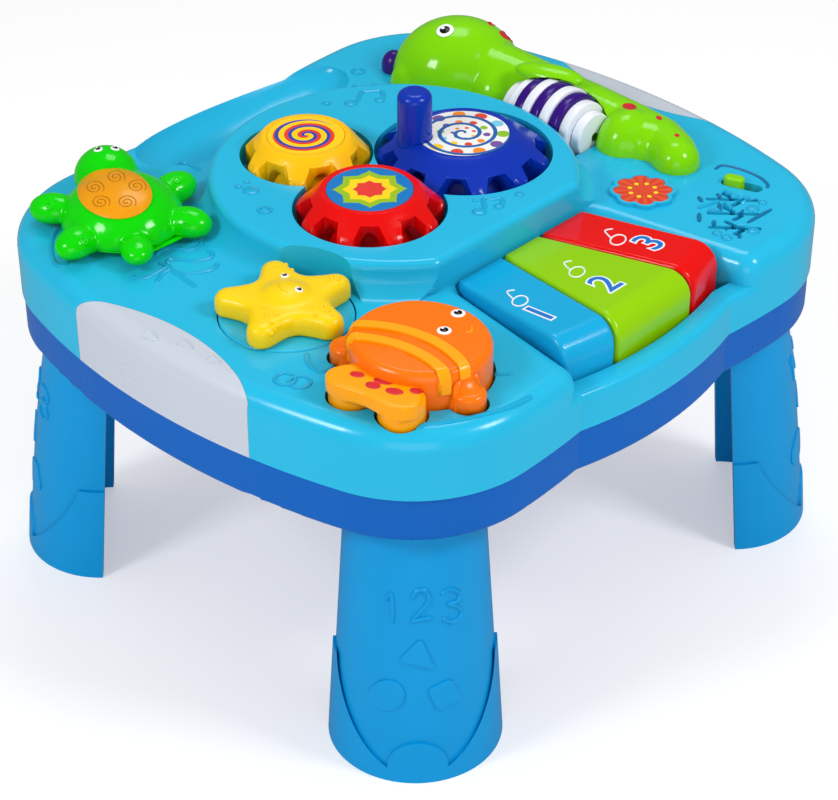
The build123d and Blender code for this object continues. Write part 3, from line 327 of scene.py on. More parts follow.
def add_node(tree: Tree, kind: str, feeds: dict[str, object], **settings) -> bpy.types.Node:
    """Add a node, set its properties and feed its inputs.

    Args:
        tree: Node tree to add to.
        kind: Node type.
        feeds: Input names with the sockets or values that feed them.
        **settings: Values of the node's own properties.

    Returns:
        The new node.
    """
    made = tree.nodes.new(kind)
    for key, value in settings.items():
        setattr(made, key, value)
    for key, value in feeds.items():
        feed(tree, made.inputs[key], value)
    return made


def calc(tree: Tree, operation: str, *values: object) -> Socket:
    """Add a math node.

    Args:
        tree: Node tree to add to.
        operation: Math operation.
        *values: Sockets or numbers to work on.

    Returns:
        The result's socket.
    """
    made = add_node(tree, "ShaderNodeMath", {}, operation=operation)
    for socket, value in zip(made.inputs, values):
        feed(tree, socket, value)
    return made.outputs[0]


def overlay(tree: Tree, mask: object, under: object, over: object) -> Socket:
    """Lay one colour over another where a mask says.

    Args:
        tree: Node tree to add to.
        mask: Share of the upper colour.
        under: Lower colour.
        over: Upper colour.

    Returns:
        The mixed colour's socket.
    """
    made = add_node(tree, "ShaderNodeMix", {}, data_type="RGBA")
    feed(tree, made.inputs[0], mask)
    feed(tree, made.inputs[MIX_UNDER], under)
    feed(tree, made.inputs[MIX_OVER], over)
    return made.outputs[2]


def bands(tree: Tree, value: Socket, stops: Sequence[tuple[float, Colour]]) -> Socket:
    """Paint hard-edged bands of colour along a value from 0 to 1.

    Args:
        tree: Node tree to add to.
        value: Value that picks the band.
        stops: Start and colour of each band, in order.

    Returns:
        The colour's socket.
    """
    made = add_node(tree, "ShaderNodeValToRGB", {"Fac": value})
    ramp = made.color_ramp
    ramp.interpolation = "CONSTANT"
    while len(ramp.elements) < len(stops):
        ramp.elements.new(1.0)
    for element, (start, colour) in zip(ramp.elements, stops):
        element.position = start
        element.color = linear(colour)
    return made.outputs["Color"]


def new_group(name: str, inputs: dict[str, tuple[str, object]], outputs: dict[str, str]) -> Tree:
    """Start a shader node group with named sockets.

    Args:
        name: Name of the group.
        inputs: Socket type and default value of each input.
        outputs: Socket type of each output.

    Returns:
        The group's tree, with its input and output nodes.
    """
    tree = bpy.data.node_groups.new(name, "ShaderNodeTree")
    for label, (kind, default) in inputs.items():
        tree.interface.new_socket(label, in_out="INPUT", socket_type=kind).default_value = default
    for label, kind in outputs.items():
        tree.interface.new_socket(label, in_out="OUTPUT", socket_type=kind)
    tree.nodes.new("NodeGroupInput")
    tree.nodes.new("NodeGroupOutput")
    return tree


def moulded_surface() -> Tree:
    """Build the group for injection-moulded plastic: cloudy tint, uneven gloss and a fine skin.

    Returns:
        A group that puts out a colour, a roughness and a bump height.
    """
    tree = new_group(
        "moulded_surface",
        {
            "Colour": ("NodeSocketColor", WHITE_LIGHT),
            "Cloud": ("NodeSocketFloat", 0.04),
            "Gloss": ("NodeSocketFloat", 0.25),
            "Spread": ("NodeSocketFloat", 0.1),
            "Grain": ("NodeSocketFloat", 900.0),
        },
        {"Colour": "NodeSocketColor", "Roughness": "NodeSocketFloat", "Height": "NodeSocketFloat"},
    )
    given = tree.nodes["Group Input"].outputs
    place = add_node(tree, "ShaderNodeTexCoord", {}).outputs["Object"]
    coarse = {"Vector": place, "Scale": CLOUD_SCALE, "Detail": 3.0}
    cloud = add_node(tree, "ShaderNodeTexNoise", coarse).outputs["Fac"]
    close = {"Vector": place, "Scale": given["Grain"], "Detail": 2.0}
    grain = add_node(tree, "ShaderNodeTexNoise", close).outputs["Fac"]
    swing = calc(tree, "MULTIPLY_ADD", cloud, 2.0, -1.0)
    value = calc(tree, "MULTIPLY_ADD", swing, given["Cloud"], 1.0)
    tinted = add_node(tree, "ShaderNodeHueSaturation", {"Color": given["Colour"], "Value": value})
    uneven = calc(tree, "MULTIPLY_ADD", swing, given["Spread"], given["Gloss"])
    fine = calc(tree, "SUBTRACT", grain, 0.5)
    rough = calc(tree, "MULTIPLY_ADD", fine, given["Spread"], uneven)
    height = calc(tree, "MULTIPLY_ADD", grain, GRAIN_SHARE, cloud)
    taken = tree.nodes["Group Output"].inputs
    feed(tree, taken["Colour"], tinted.outputs["Color"])
    feed(tree, taken["Roughness"], rough)
    feed(tree, taken["Height"], height)
    return tree


def polar_place() -> Tree:
    """Build the group that measures distance and turn round an upright axis.

    Returns:
        A group that puts out the radius in millimetres and the turn from 0 to 1.
    """
    tree = new_group(
        "polar_place",
        {"Centre": ("NodeSocketVector", (0.0, 0.0, 0.0))},
        {"Radius": "NodeSocketFloat", "Turn": "NodeSocketFloat"},
    )
    place = add_node(tree, "ShaderNodeTexCoord", {}).outputs["Object"]
    offset = add_node(tree, "ShaderNodeVectorMath", {}, operation="SUBTRACT")
    feed(tree, offset.inputs[0], place)
    feed(tree, offset.inputs[1], tree.nodes["Group Input"].outputs["Centre"])
    parts = add_node(tree, "ShaderNodeSeparateXYZ", {"Vector": offset.outputs[0]}).outputs
    across = calc(tree, "MULTIPLY", parts["Y"], parts["Y"])
    squares = calc(tree, "MULTIPLY_ADD", parts["X"], parts["X"], across)
    radius = calc(tree, "MULTIPLY", calc(tree, "SQRT", squares), 1 / MM)
    angle = calc(tree, "ARCTAN2", parts["Y"], parts["X"])
    turn = calc(tree, "FRACT", calc(tree, "DIVIDE", angle, math.tau))
    taken = tree.nodes["Group Output"].inputs
    feed(tree, taken["Radius"], radius)
    feed(tree, taken["Turn"], turn)
    return tree


MOULDED = moulded_surface()
POLAR = polar_place()


@dataclass(frozen=True)
class Finish:
    """A surface finish: its colour, its gloss and the record's slot that it stands for."""

    name: str
    slot: str
    colour: Colour
    gloss: float = 0.24
    cloud: float = 0.035
    spread: float = 0.08
    grain: float = 900.0
    skin: float = 0.06
    metallic: float = 0.0
    shine: float = 0.33
    glow_through: float = 0.0

    def paint(self, tree: Tree) -> object:
        """Give the colour, or the socket of a pattern, that the surface starts from."""
        return linear(self.colour)

    def material(self) -> bpy.types.Material:
        """Build the material once and hand out the same one after that.

        Returns:
            The finish's material.
        """
        made = bpy.data.materials.get(self.name)
        if made:
            return made
        made = bpy.data.materials.new(self.name)
        made.use_nodes = True
        made.diffuse_color = linear(self.colour)
        tree = made.node_tree
        mould = {
            "Colour": self.paint(tree),
            "Cloud": self.cloud,
            "Gloss": self.gloss,
            "Spread": self.spread,
            "Grain": self.grain,
        }
        surface = add_node(tree, "ShaderNodeGroup", mould, node_tree=MOULDED).outputs
        relief = {"Height": surface["Height"], "Strength": self.skin, "Distance": SKIN_DEPTH}
        values = {
            "Base Color": surface["Colour"],
            "Roughness": surface["Roughness"],
            "Normal": add_node(tree, "ShaderNodeBump", relief).outputs["Normal"],
            "Metallic": self.metallic,
            "Specular IOR Level": self.shine,
            "Subsurface Weight": self.glow_through,
            "Subsurface Radius": GLOW_REACH,
        }
        for socket, value in values.items():
            feed(tree, tree.nodes["Principled BSDF"].inputs[socket], value)
        return made

    def dress(self, *nodes: str) -> None:
        """Give this finish to CAD nodes.

        Args:
            *nodes: Names of the nodes.
        """
        for name in nodes:
            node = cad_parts[name]
            if not node.material_slots:
                node.data.materials.append(self.material())
            for slot in node.material_slots:
                slot.material = self.material()


@dataclass(frozen=True)
class RoundPrint(Finish):
    """A printed disc whose pattern turns round the middle of its node."""

    node: str = ""

    def polar(self, tree: Tree) -> tuple[Socket, Socket]:
        """Add the polar group, centred on the node.

        Args:
            tree: Material tree to add to.

        Returns:
            Sockets of the radius in millimetres and the turn.
        """
        low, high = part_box(self.node)
        place = add_node(tree, "ShaderNodeGroup", {}, node_tree=POLAR)
        place.inputs["Centre"].default_value = (low + high) / 2
        return place.outputs["Radius"], place.outputs["Turn"]

    def reach(self) -> float:
        """Radius of the disc in millimetres."""
        low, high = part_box(self.node)
        return (high.x - low.x) / 2 / MM

    def dot_ring(self, tree: Tree, polar: tuple[Socket, Socket], size: DotRing) -> tuple[Socket, Socket]:
        """Mark a ring of round dots.

        Args:
            tree: Material tree to add to.
            polar: Sockets of the radius in millimetres and the turn.
            size: Radius of the ring, number of dots and radius of a dot.

        Returns:
            Sockets of the turn counted in dots, and of a mask that is 1 on the dots.
        """
        radius, turn = polar
        reach, count, dot = size
        steps = calc(tree, "MULTIPLY", turn, float(count))
        share = calc(tree, "SUBTRACT", calc(tree, "FRACT", steps), 0.5)
        aside = calc(tree, "MULTIPLY", share, math.tau * reach / count)
        away = calc(tree, "SUBTRACT", radius, reach)
        square = calc(tree, "MULTIPLY_ADD", aside, aside, calc(tree, "MULTIPLY", away, away))
        return steps, calc(tree, "LESS_THAN", square, dot * dot)


@dataclass(frozen=True)
class TwinSpiralPrint(RoundPrint):
    """Two bands of colour that wind together in a spiral on a plain disc."""

    pitch: float = 5.6
    rim: float = 0.86
    starts: tuple[float, float] = (0.42, 0.7)
    inner: Colour = (40, 70, 170)
    outer: Colour = (226, 62, 48)

    def paint(self, tree: Tree) -> Socket:
        """Wind the two bands inward and leave the rim plain.

        Args:
            tree: Material tree to add to.

        Returns:
            Socket of the pattern's colour.
        """
        radius, turn = self.polar(tree)
        winding = calc(tree, "FRACT", calc(tree, "ADD", calc(tree, "DIVIDE", radius, self.pitch), turn))
        first, second = self.starts
        wound = bands(tree, winding, ((0.0, self.colour), (first, self.inner), (second, self.outer)))
        inside = calc(tree, "LESS_THAN", radius, self.rim * self.reach())
        return overlay(tree, inside, linear(self.colour), wound)


@dataclass(frozen=True)
class StarburstPrint(RoundPrint):
    """Nested eight-pointed stars on a plain disc."""

    points: int = 8
    depth: float = 0.24
    stars: tuple[tuple[float, Colour], ...] = (
        (0.0, (226, 60, 50)), (0.41, (250, 212, 20)), (0.66, (150, 190, 30)), (0.88, (22, 118, 190)),
    )

    def paint(self, tree: Tree) -> Socket:
        """Shrink the radius between the points so that the bands become stars.

        Args:
            tree: Material tree to add to.

        Returns:
            Socket of the pattern's colour.
        """
        radius, turn = self.polar(tree)
        wave = calc(tree, "PINGPONG", calc(tree, "MULTIPLY", turn, float(self.points)), 0.5)
        bowed = calc(tree, "SQRT", calc(tree, "MULTIPLY", wave, 2.0))
        dip = calc(tree, "MULTIPLY_ADD", bowed, -self.depth, 1.0)
        share = calc(tree, "DIVIDE", calc(tree, "DIVIDE", radius, dip), self.reach())
        return bands(tree, share, self.stars)


@dataclass(frozen=True)
class DottedSpiralPrint(RoundPrint):
    """One line that winds in a spiral among rings of coloured dots on white."""

    pitch: float = 6.6
    line: float = 0.27
    margin: float = 0.02
    ink: Colour = (38, 100, 170)
    hues: tuple[Colour, ...] = (
        (226, 72, 50), (245, 140, 40), (120, 84, 160), (140, 190, 40), (120, 200, 225), (250, 205, 40),
    )
    rings: tuple[DotRing, ...] = ((16.4, 11, 2.7), (9.7, 10, 1.6), (4.6, 7, 0.9))

    def ring(self, tree: Tree, under: object, polar: tuple[Socket, Socket], size: DotRing) -> Socket:
        """Lay one ring of dots over a colour.

        Args:
            tree: Material tree to add to.
            under: Colour below the dots.
            polar: Sockets of the radius in millimetres and the turn.
            size: Radius of the ring, number of dots and radius of a dot.

        Returns:
            Socket of the colour with the dots.
        """
        steps, mask = self.dot_ring(tree, polar, size)
        number = calc(tree, "DIVIDE", calc(tree, "FLOOR", steps), float(len(self.hues)))
        starts = [(place / len(self.hues), hue) for place, hue in enumerate(self.hues)]
        hue = bands(tree, calc(tree, "ADD", calc(tree, "FRACT", number), self.margin), starts)
        return overlay(tree, mask, under, hue)

    def paint(self, tree: Tree) -> Socket:
        """Lay the rings of dots and then the winding line.

        Args:
            tree: Material tree to add to.

        Returns:
            Socket of the pattern's colour.
        """
        radius, turn = self.polar(tree)
        colour: object = linear(self.colour)
        for size in self.rings:
            colour = self.ring(tree, colour, (radius, turn), size)
        laps = calc(tree, "SUBTRACT", calc(tree, "DIVIDE", radius, self.pitch), turn)
        winding = calc(tree, "FRACT", laps)
        return overlay(tree, calc(tree, "LESS_THAN", winding, self.line), colour, linear(self.ink))


@dataclass(frozen=True)
class ShellPrint(RoundPrint):
    """A fan of ribs in two reds with a ring of yellow dots, for a scalloped badge."""

    ribs: int = 16
    dots: DotRing = (5.6, 8, 1.0)
    contrast: float = 1.6
    dark: Colour = (196, 52, 34)
    spot: Colour = (250, 214, 40)

    def paint(self, tree: Tree) -> Socket:
        """Paint ribs that fan out from the middle and dots between them.

        Args:
            tree: Material tree to add to.

        Returns:
            Socket of the pattern's colour.
        """
        radius, turn = self.polar(tree)
        wave = calc(tree, "PINGPONG", calc(tree, "MULTIPLY", turn, float(self.ribs)), 0.5)
        shade = calc(tree, "MULTIPLY", wave, self.contrast)
        colour = overlay(tree, shade, linear(self.colour), linear(self.dark))
        _, mask = self.dot_ring(tree, (radius, turn), self.dots)
        return overlay(tree, mask, colour, linear(self.spot))


@dataclass(frozen=True)
class BandedRoller(Finish):
    """A white ribbed roller with some of its ribs in purple."""

    painted: tuple[int, ...] = (2, 4, 6)
    band: Colour = (50, 10, 120)

    def paint(self, tree: Tree) -> Socket:
        """Paint the chosen ribs, counted from the rear end.

        Args:
            tree: Material tree to add to.

        Returns:
            Socket of the pattern's colour.
        """
        place = add_node(tree, "ShaderNodeTexCoord", {}).outputs["Object"]
        along = add_node(tree, "ShaderNodeSeparateXYZ", {"Vector": place}).outputs["Y"]
        ahead = calc(tree, "SUBTRACT", ROLLER_REAR * MM, along)
        share = calc(tree, "DIVIDE", ahead, (ROLLER_REAR - ROLLER_FRONT) * MM)
        stops: list[tuple[float, Colour]] = [(0.0, self.colour)]
        for rib in self.painted:
            stops.append((rib / ROLLER_RIBS, self.band))
            stops.append(((rib + 1) / ROLLER_RIBS, self.colour))
        return bands(tree, share, stops)


class Plastic:
    """The table's finishes, one for each colour of plastic, print and metal, with darker copies of the sky
    plastic as painted shade.
    """

    SKY = Finish("sky_plastic_gloss", "sky_plastic", (34, 180, 220), gloss=0.2)
    # The raised marks are the same sky plastic, given a darker copy of its colour as painted shade.
    RELIEF_PAINTED_SHADE = Finish("sky_plastic_relief_painted_shade", "sky_plastic", (24, 166, 208), gloss=0.2)
    # A deep blue copy of the sky plastic: painted shade for the grille's slots and the switch groove.
    PAINTED_SLOT_SHADE = Finish("painted_slot_shade", "sky_plastic", (6, 110, 160), gloss=0.4)
    BAND = Finish("band_plastic_satin", "band_plastic", (0, 94, 184), gloss=0.3, shine=0.2)
    LEG = Finish("leg_plastic_satin", "leg_plastic", (2, 148, 212), gloss=0.32, skin=0.12, shine=0.2)
    WHITE = Finish(
        "white_plastic_gloss", "white_plastic", (192, 200, 212), gloss=0.3, cloud=0.015, skin=0.02
    )
    TURTLE = Finish("turtle_green_gloss", "turtle_green", (10, 210, 0), gloss=0.16, glow_through=0.15)
    LENS = Finish("amber_lens_gloss", "amber_lens", (230, 152, 0), gloss=0.3, glow_through=0.2)
    LENS_LINE = Finish("amber_lens_line", "amber_lens", (176, 112, 6), gloss=0.35)
    STAR = Finish("star_yellow_satin", "star_yellow", (244, 206, 0), gloss=0.32, glow_through=0.1)
    FISH = Finish("fish_orange_gloss", "fish_orange", (250, 116, 0), gloss=0.22)
    AMBER = Finish("fish_amber_gloss", "fish_amber", (252, 162, 0), gloss=0.24)
    KEY_BLUE = Finish("key_blue_gloss", "key_blue", (18, 164, 214), gloss=0.18)
    KEY_LIME = Finish("key_lime_gloss", "key_lime", (142, 202, 0), gloss=0.18)
    KEY_RED = Finish("key_red_gloss", "key_red", (228, 6, 4), gloss=0.18)
    SEAHORSE = Finish("seahorse_lime_gloss", "seahorse_lime", (126, 212, 0), gloss=0.16, glow_through=0.12)
    PURPLE = Finish("purple_plastic_gloss", "purple_plastic", (52, 10, 120), gloss=0.25)
    GEAR_YELLOW = Finish("gear_yellow_gloss", "gear_yellow", (252, 192, 0), gloss=0.26)
    GEAR_RED = Finish("gear_red_gloss", "gear_red", (226, 2, 0), gloss=0.22)
    GEAR_BLUE = Finish("gear_blue_gloss", "gear_blue", (6, 48, 170), gloss=0.22)
    SWITCH = Finish("switch_lime_gloss", "switch_lime", (132, 206, 0), gloss=0.25)
    BLACK = Finish("black_plastic_gloss", "black_plastic", (14, 13, 14), gloss=0.2)
    EYE_WHITE = Finish("eye_white_gloss", "white_plastic", (246, 246, 246), gloss=0.2)
    SPOT = Finish("spot_red_print", "printed_label", (206, 34, 44), gloss=0.3)
    INK = Finish("key_ink_print", "printed_label", (24, 112, 200), gloss=0.3)
    OUTLINE = Finish("key_outline_print", "printed_label", (236, 240, 244), gloss=0.3)
    BOARD = Finish("board_green_laminate", "board_green", (20, 90, 50), gloss=0.4, cloud=0.1)
    RUBBER = Finish("dome_rubber_matte", "dome_rubber", (60, 60, 60), gloss=0.7)
    CELL = Finish("cell_wrap_film", "cell_wrap", (40, 42, 48), gloss=0.35)
    STEEL = Finish("plated_steel", "steel", (186, 188, 192), gloss=0.3, metallic=1.0, grain=2400.0)


YELLOW_LABEL = TwinSpiralPrint(
    "yellow_label_print", "printed_label", (255, 205, 20), node="yellow_gear_label"
)
RED_LABEL = StarburstPrint("red_label_print", "printed_label", (22, 118, 190), node="red_gear_label")
BLUE_LABEL = DottedSpiralPrint("blue_label_print", "printed_label", (240, 240, 236), node="blue_gear_label")
BADGE_PRINT = ShellPrint("badge_print", "printed_label", (232, 84, 50), node="shell_badge")
ROLLER_BANDS = BandedRoller("roller_bands", "white_plastic", (232, 234, 242), gloss=0.2)


def hand_over(thing: Thing, finish: Finish, body: Body, crease: float = 40.0) -> Thing:
    """Give a finished mesh its material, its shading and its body.

    Args:
        thing: Mesh object at the origin.
        finish: Finish that it wears.
        body: Body that it moves with.
        crease: Edges sharper than this angle in degrees stay crisp.

    Returns:
        The same object.
    """
    thing.data.materials.clear()
    thing.data.materials.append(finish.material())
    pick(thing)
    bpy.ops.object.shade_smooth_by_angle(angle=math.radians(crease))
    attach(thing, body.value)
    log.info("%s rides on %s", thing.name, body.value)
    return thing


def stand(thing: Thing, point: Vector, normal: Vector) -> None:
    """Stand an object on a surface, with its Z axis along the normal.

    Args:
        thing: Object to place.
        point: Point of the surface.
        normal: Outward normal there.
    """
    turn = normal.to_track_quat("Z", "Y").to_matrix().to_4x4()
    thing.matrix_world = Matrix.Translation(point) @ turn @ Matrix.Diagonal((*thing.scale, 1.0))


def bead(name: str, seat: Seat, radius: float, rise: float) -> Thing:
    """Model a low dome that sits on a surface, with its foot sunk into it.

    Args:
        name: Piece name.
        seat: Point and normal of the surface.
        radius: Radius of the dome in metres.
        rise: Height of the dome in metres.

    Returns:
        The dome.
    """
    clear_selection()
    bpy.ops.mesh.primitive_uv_sphere_add(segments=28, ring_count=16, radius=radius)
    dome = cut(bpy.context.object, (0.0, 0.0, -BEAD_FOOT * radius), UPWARD)
    dome.scale = (1.0, 1.0, rise / radius)
    stand(dome, *seat)
    return settle(dome, name)


def hoop(name: str, seat: Seat, radius: float, thick: float) -> Thing:
    """Model a raised ring: a torus cut flat below the surface that it lies on.

    Args:
        name: Piece name.
        seat: Point and normal of the surface.
        radius: Radius to the middle of the ring in metres.
        thick: Radius of the ring's own section in metres.

    Returns:
        The ring.
    """
    clear_selection()
    bpy.ops.mesh.primitive_torus_add(
        major_segments=40, minor_segments=12, major_radius=radius, minor_radius=thick
    )
    ring = bpy.context.object
    edit_all(ring)
    bpy.ops.mesh.bisect(plane_co=(0.0, 0.0, -HOOP_FOOT * thick), plane_no=UPWARD, clear_inner=True)
    bpy.ops.mesh.select_all(action="DESELECT")
    bpy.ops.mesh.select_non_manifold()
    bpy.ops.mesh.bridge_edge_loops()
    bpy.ops.object.mode_set(mode="OBJECT")
    stand(ring, *seat)
    return settle(ring, name)


def through(points: Sequence[Pixel], closed: bool = False, steps: int = 8) -> list[Pixel]:
    """Draw a smooth line through a few points.

    Args:
        points: Points to pass through.
        closed: Whether the line comes back to its start.
        steps: Points on each stretch.

    Returns:
        Points along the line.
    """
    count = len(points)
    line: list[Pixel] = []
    for start in range(count if closed else count - 1):
        knots = []
        for place in range(start - 1, start + 3):
            knots.append(Vector(points[place % count if closed else min(max(place, 0), count - 1)]))
        before, here, there, after = knots
        for step in range(steps):
            t = step / steps
            bend = (there - before) * t + (before * 2 - here * 5 + there * 4 - after) * t**2
            spot = here + (bend + (here * 3 - before - there * 3 + after) * t**3) / 2
            line.append((spot.x, spot.y))
    if not closed:
        line.append(points[-1])
    return line


def oval(centre: Pixel, across: float, down: float, lean: float = 0.0, count: int = 20) -> list[Pixel]:
    """List the pixels of an ellipse.

    Args:
        centre: Middle of the ellipse.
        across: Half of its width.
        down: Half of its height.
        lean: Turn in degrees.
        count: Number of points.

    Returns:
        Points round the ellipse.
    """
    slope = math.radians(lean)
    ring = []
    for step in range(count):
        x = across * math.cos(math.tau * step / count)
        y = down * math.sin(math.tau * step / count)
        turned_x = x * math.cos(slope) - y * math.sin(slope)
        turned_y = x * math.sin(slope) + y * math.cos(slope)
        ring.append((centre[0] + turned_x, centre[1] + turned_y))
    return ring


def trace(
    name: str, line: Sequence[Pixel], carrier: Thing, thick: float, closed: bool = False, sink: float = 0.0
) -> Thing:
    """Model a raised line that follows a surface under a drawn path.

    Args:
        name: Piece name.
        line: Pixels along the path.
        carrier: Piece that the line lies on.
        thick: Radius of the line's section in metres.
        closed: Whether the line is a loop.
        sink: How deep the line's middle lies under the surface, in metres.

    Returns:
        The line as a mesh.
    """
    clear_selection()
    bpy.ops.curve.primitive_nurbs_path_add()
    strand = bpy.context.object
    curve = strand.data
    curve.splines.clear()
    spline = curve.splines.new("POLY")
    spline.points.add(len(line) - 1)
    for place, (point, pixel) in enumerate(zip(spline.points, line)):
        spot, normal = VIEW.touch(carrier, pixel)
        point.co = (*(spot - normal * sink), 1.0)
        tip = min(place, len(line) - 1 - place)
        point.radius = 1.0 if closed else min(1.0, TIP_SHARE + TIP_STEP * tip)
    spline.use_cyclic_u = closed
    curve.dimensions = "3D"
    curve.bevel_depth = thick
    curve.bevel_resolution = 2
    curve.use_fill_caps = True
    pick(strand)
    bpy.ops.object.convert(target="MESH")
    strand = bpy.context.object
    close_mesh(strand)
    return settle(strand, name)


def sheet(outline: Sequence[Pixel], unit: float = 1.0) -> Thing:
    """Start a flat face with a given outline.

    Args:
        outline: Points round the face.
        unit: Length that one step of the points stands for.

    Returns:
        The face.
    """
    clear_selection()
    bpy.ops.mesh.primitive_circle_add(vertices=len(outline), fill_type="NGON")
    face = bpy.context.object
    for vertex, (x, y) in zip(face.data.vertices, outline):
        vertex.co = (x * unit, y * unit, 0.0)
    return face


def plate(
    name: str, outline: Sequence[Pixel], carrier: Thing, rise: float, deep: float, cuts: int = 2
) -> Thing:
    """Model a thin raised shape that follows the surface under a drawn outline.

    Args:
        name: Piece name.
        outline: Pixels round the shape.
        carrier: Piece that the shape lies on.
        rise: Height of its top above the surface in metres.
        deep: Thickness in metres.
        cuts: Cuts of each edge, more for a larger shape.

    Returns:
        The shape as a closed mesh.
    """
    shape = sheet(outline)
    edit_all(shape)
    bpy.ops.mesh.poke()
    bpy.ops.mesh.subdivide(number_cuts=cuts)
    bpy.ops.object.mode_set(mode="OBJECT")
    for vertex in shape.data.vertices:
        point, normal = VIEW.touch(carrier, (vertex.co.x, vertex.co.y))
        vertex.co = point + normal * rise
    shape.data.update()
    if sum(face.normal.dot(VIEW.back()) for face in shape.data.polygons) < 0:
        edit_all(shape)
        bpy.ops.mesh.flip_normals()
        bpy.ops.object.mode_set(mode="OBJECT")
    apply_modifier(shape, "SOLIDIFY", thickness=deep, offset=-1.0)
    apply_modifier(shape, "BEVEL", width=PLATE_BEVEL * rise, segments=2, limit_method="ANGLE")
    return settle(shape, name)


def numeral(name: str, text: str, seat: Seat, size: float, spread: float, rise: float) -> Thing:
    """Model a printed digit with a soft edge, reading along the front of the table.

    Args:
        name: Piece name.
        text: The digit.
        seat: Point and normal of the surface.
        size: Height of the type in metres.
        spread: How far the outline is grown, in metres.
        rise: Height of the print above the surface in metres.

    Returns:
        The digit as a mesh.
    """
    clear_selection()
    bpy.ops.object.text_add()
    glyph = bpy.context.object
    glyph.data.body = text
    glyph.data.size = size
    glyph.data.align_x = "CENTER"
    glyph.data.align_y = "CENTER"
    glyph.data.offset = spread
    glyph.data.extrude = rise
    pick(glyph)
    bpy.ops.object.convert(target="MESH")
    glyph = bpy.context.object
    close_mesh(glyph)
    point, normal = seat
    tilt = UPWARD.rotation_difference(normal).to_matrix().to_4x4()
    glyph.matrix_world = Matrix.Translation(point) @ tilt
    return settle(glyph, name)


def blob(name: str, centre: Sequence[float], size: Sequence[float], heading: float = 0.0) -> Thing:
    """Model an egg-shaped lump.

    Args:
        name: Piece name.
        centre: Middle of the lump in millimetres.
        size: Half axes in millimetres.
        heading: Turn of the first axis about the upright, in degrees.

    Returns:
        The lump.
    """
    clear_selection()
    bpy.ops.mesh.primitive_uv_sphere_add(segments=32, ring_count=20, radius=1.0)
    lump = bpy.context.object
    lump.scale = Vector(size) * MM
    lump.rotation_euler.z = math.radians(heading)
    lump.location = Vector(centre) * MM
    return settle(lump, name)


def spine(name: str, stations: Sequence[tuple[float, float, float, float]], steps: int = 6) -> list[Thing]:
    """Model a row of round lumps that melts into a limb.

    Args:
        name: Piece name.
        stations: Place and radius in millimetres of the limb's thick points.
        steps: Lumps from one station to the next.

    Returns:
        The lumps.
    """
    lumps = []
    for start, end in zip(stations, stations[1:]):
        for step in range(steps + 1):
            mix = Vector(start).lerp(Vector(end), step / steps)
            lumps.append(blob(name, mix[:3], (mix[3], mix[3], mix[3])))
    return lumps


def node_copy(node: str, name: str) -> Thing:
    """Copy a CAD node's mesh as a loose, merged object.

    Args:
        node: Name of the node.
        name: Name of the copy.

    Returns:
        The copy.
    """
    copy = bpy.data.objects.new(name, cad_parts[node].data.copy())
    bpy.context.scene.collection.objects.link(copy)
    copy.matrix_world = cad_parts[node].matrix_world
    close_mesh(copy, CAD_SEAM)
    return settle(copy, name)


def melt(things: Sequence[Thing], name: str, voxel: float, rounds: int) -> Thing:
    """Melt meshes into one smooth moulded form.

    Args:
        things: Meshes that overlap.
        name: Name of the form.
        voxel: Grain of the melted mesh in metres.
        rounds: Passes of smoothing.

    Returns:
        The form.
    """
    form = join(things, name)
    apply_modifier(form, "REMESH", mode="VOXEL", voxel_size=voxel)
    apply_modifier(form, "SMOOTH", factor=0.5, iterations=rounds)
    return form


def cut_level(form: Thing, height: float, above: bool = True) -> Thing:
    """Cut a form at a level and close it there.

    Args:
        form: Mesh to cut.
        height: Level in millimetres.
        above: True to keep what lies above the level, False to keep what lies under it.

    Returns:
        The cut form.
    """
    return cut(form, (0.0, 0.0, height * MM), UPWARD, above)


def print_spots(
    name: str, spots: Sequence[tuple[Pixel, float, float, float]], carrier: Thing, body: Body
) -> None:
    """Print red spots on a piece.

    Args:
        name: Start of each spot's name.
        spots: Middle, half width, half height and lean of each oval, in pixels and degrees.
        carrier: Piece that the spots lie on.
        body: Body that the piece belongs to.
    """
    for number, (pixel, across, down, lean) in enumerate(spots, start=1):
        spot = plate(f"{name}_{number}", oval(pixel, across, down, lean), carrier, SPOT_RISE, SPOT_DEPTH)
        hand_over(spot, Plastic.SPOT, body)


@dataclass(frozen=True)
class Eye:
    """An eye: a low white dome, a dark pupil and a glint."""

    name: str
    pixel: Pixel
    radius: float
    rise: float = 0.5 * MM
    pupil: float = 0.62
    pupil_lift: float = 0.25 * MM
    glint: float = 0.2
    glint_lift: float = 0.6 * MM
    glint_rise: float = 0.3 * MM

    def build(self, carrier: Thing, body: Body) -> None:
        """Model the eye on the piece that carries it.

        Args:
            carrier: Head that the eye sits on.
            body: Body that the head belongs to.
        """
        point, normal = VIEW.touch(carrier, self.pixel)
        small = self.glint * self.radius
        aside = (VIEW.back().cross(UPWARD).normalized() + UPWARD) * small
        spark = point + normal * self.glint_lift + aside
        middle = point + normal * self.pupil_lift
        layers = (
            ("white", point, self.radius, self.rise, Plastic.EYE_WHITE),
            ("pupil", middle, self.pupil * self.radius, self.rise, Plastic.BLACK),
            ("glint", spark, small, self.glint_rise, Plastic.EYE_WHITE),
        )
        for layer, place, radius, rise, finish in layers:
            hand_over(bead(f"{self.name}_{layer}", (place, normal), radius, rise), finish, body)


class SubAssembly:
    """A group of pieces that is dressed first and built on then."""

    def dress(self) -> None:
        """Finish the CAD nodes that stay; there are none unless a sub-assembly names them."""

    def build(self) -> None:
        """Model the added pieces."""
        raise NotImplementedError


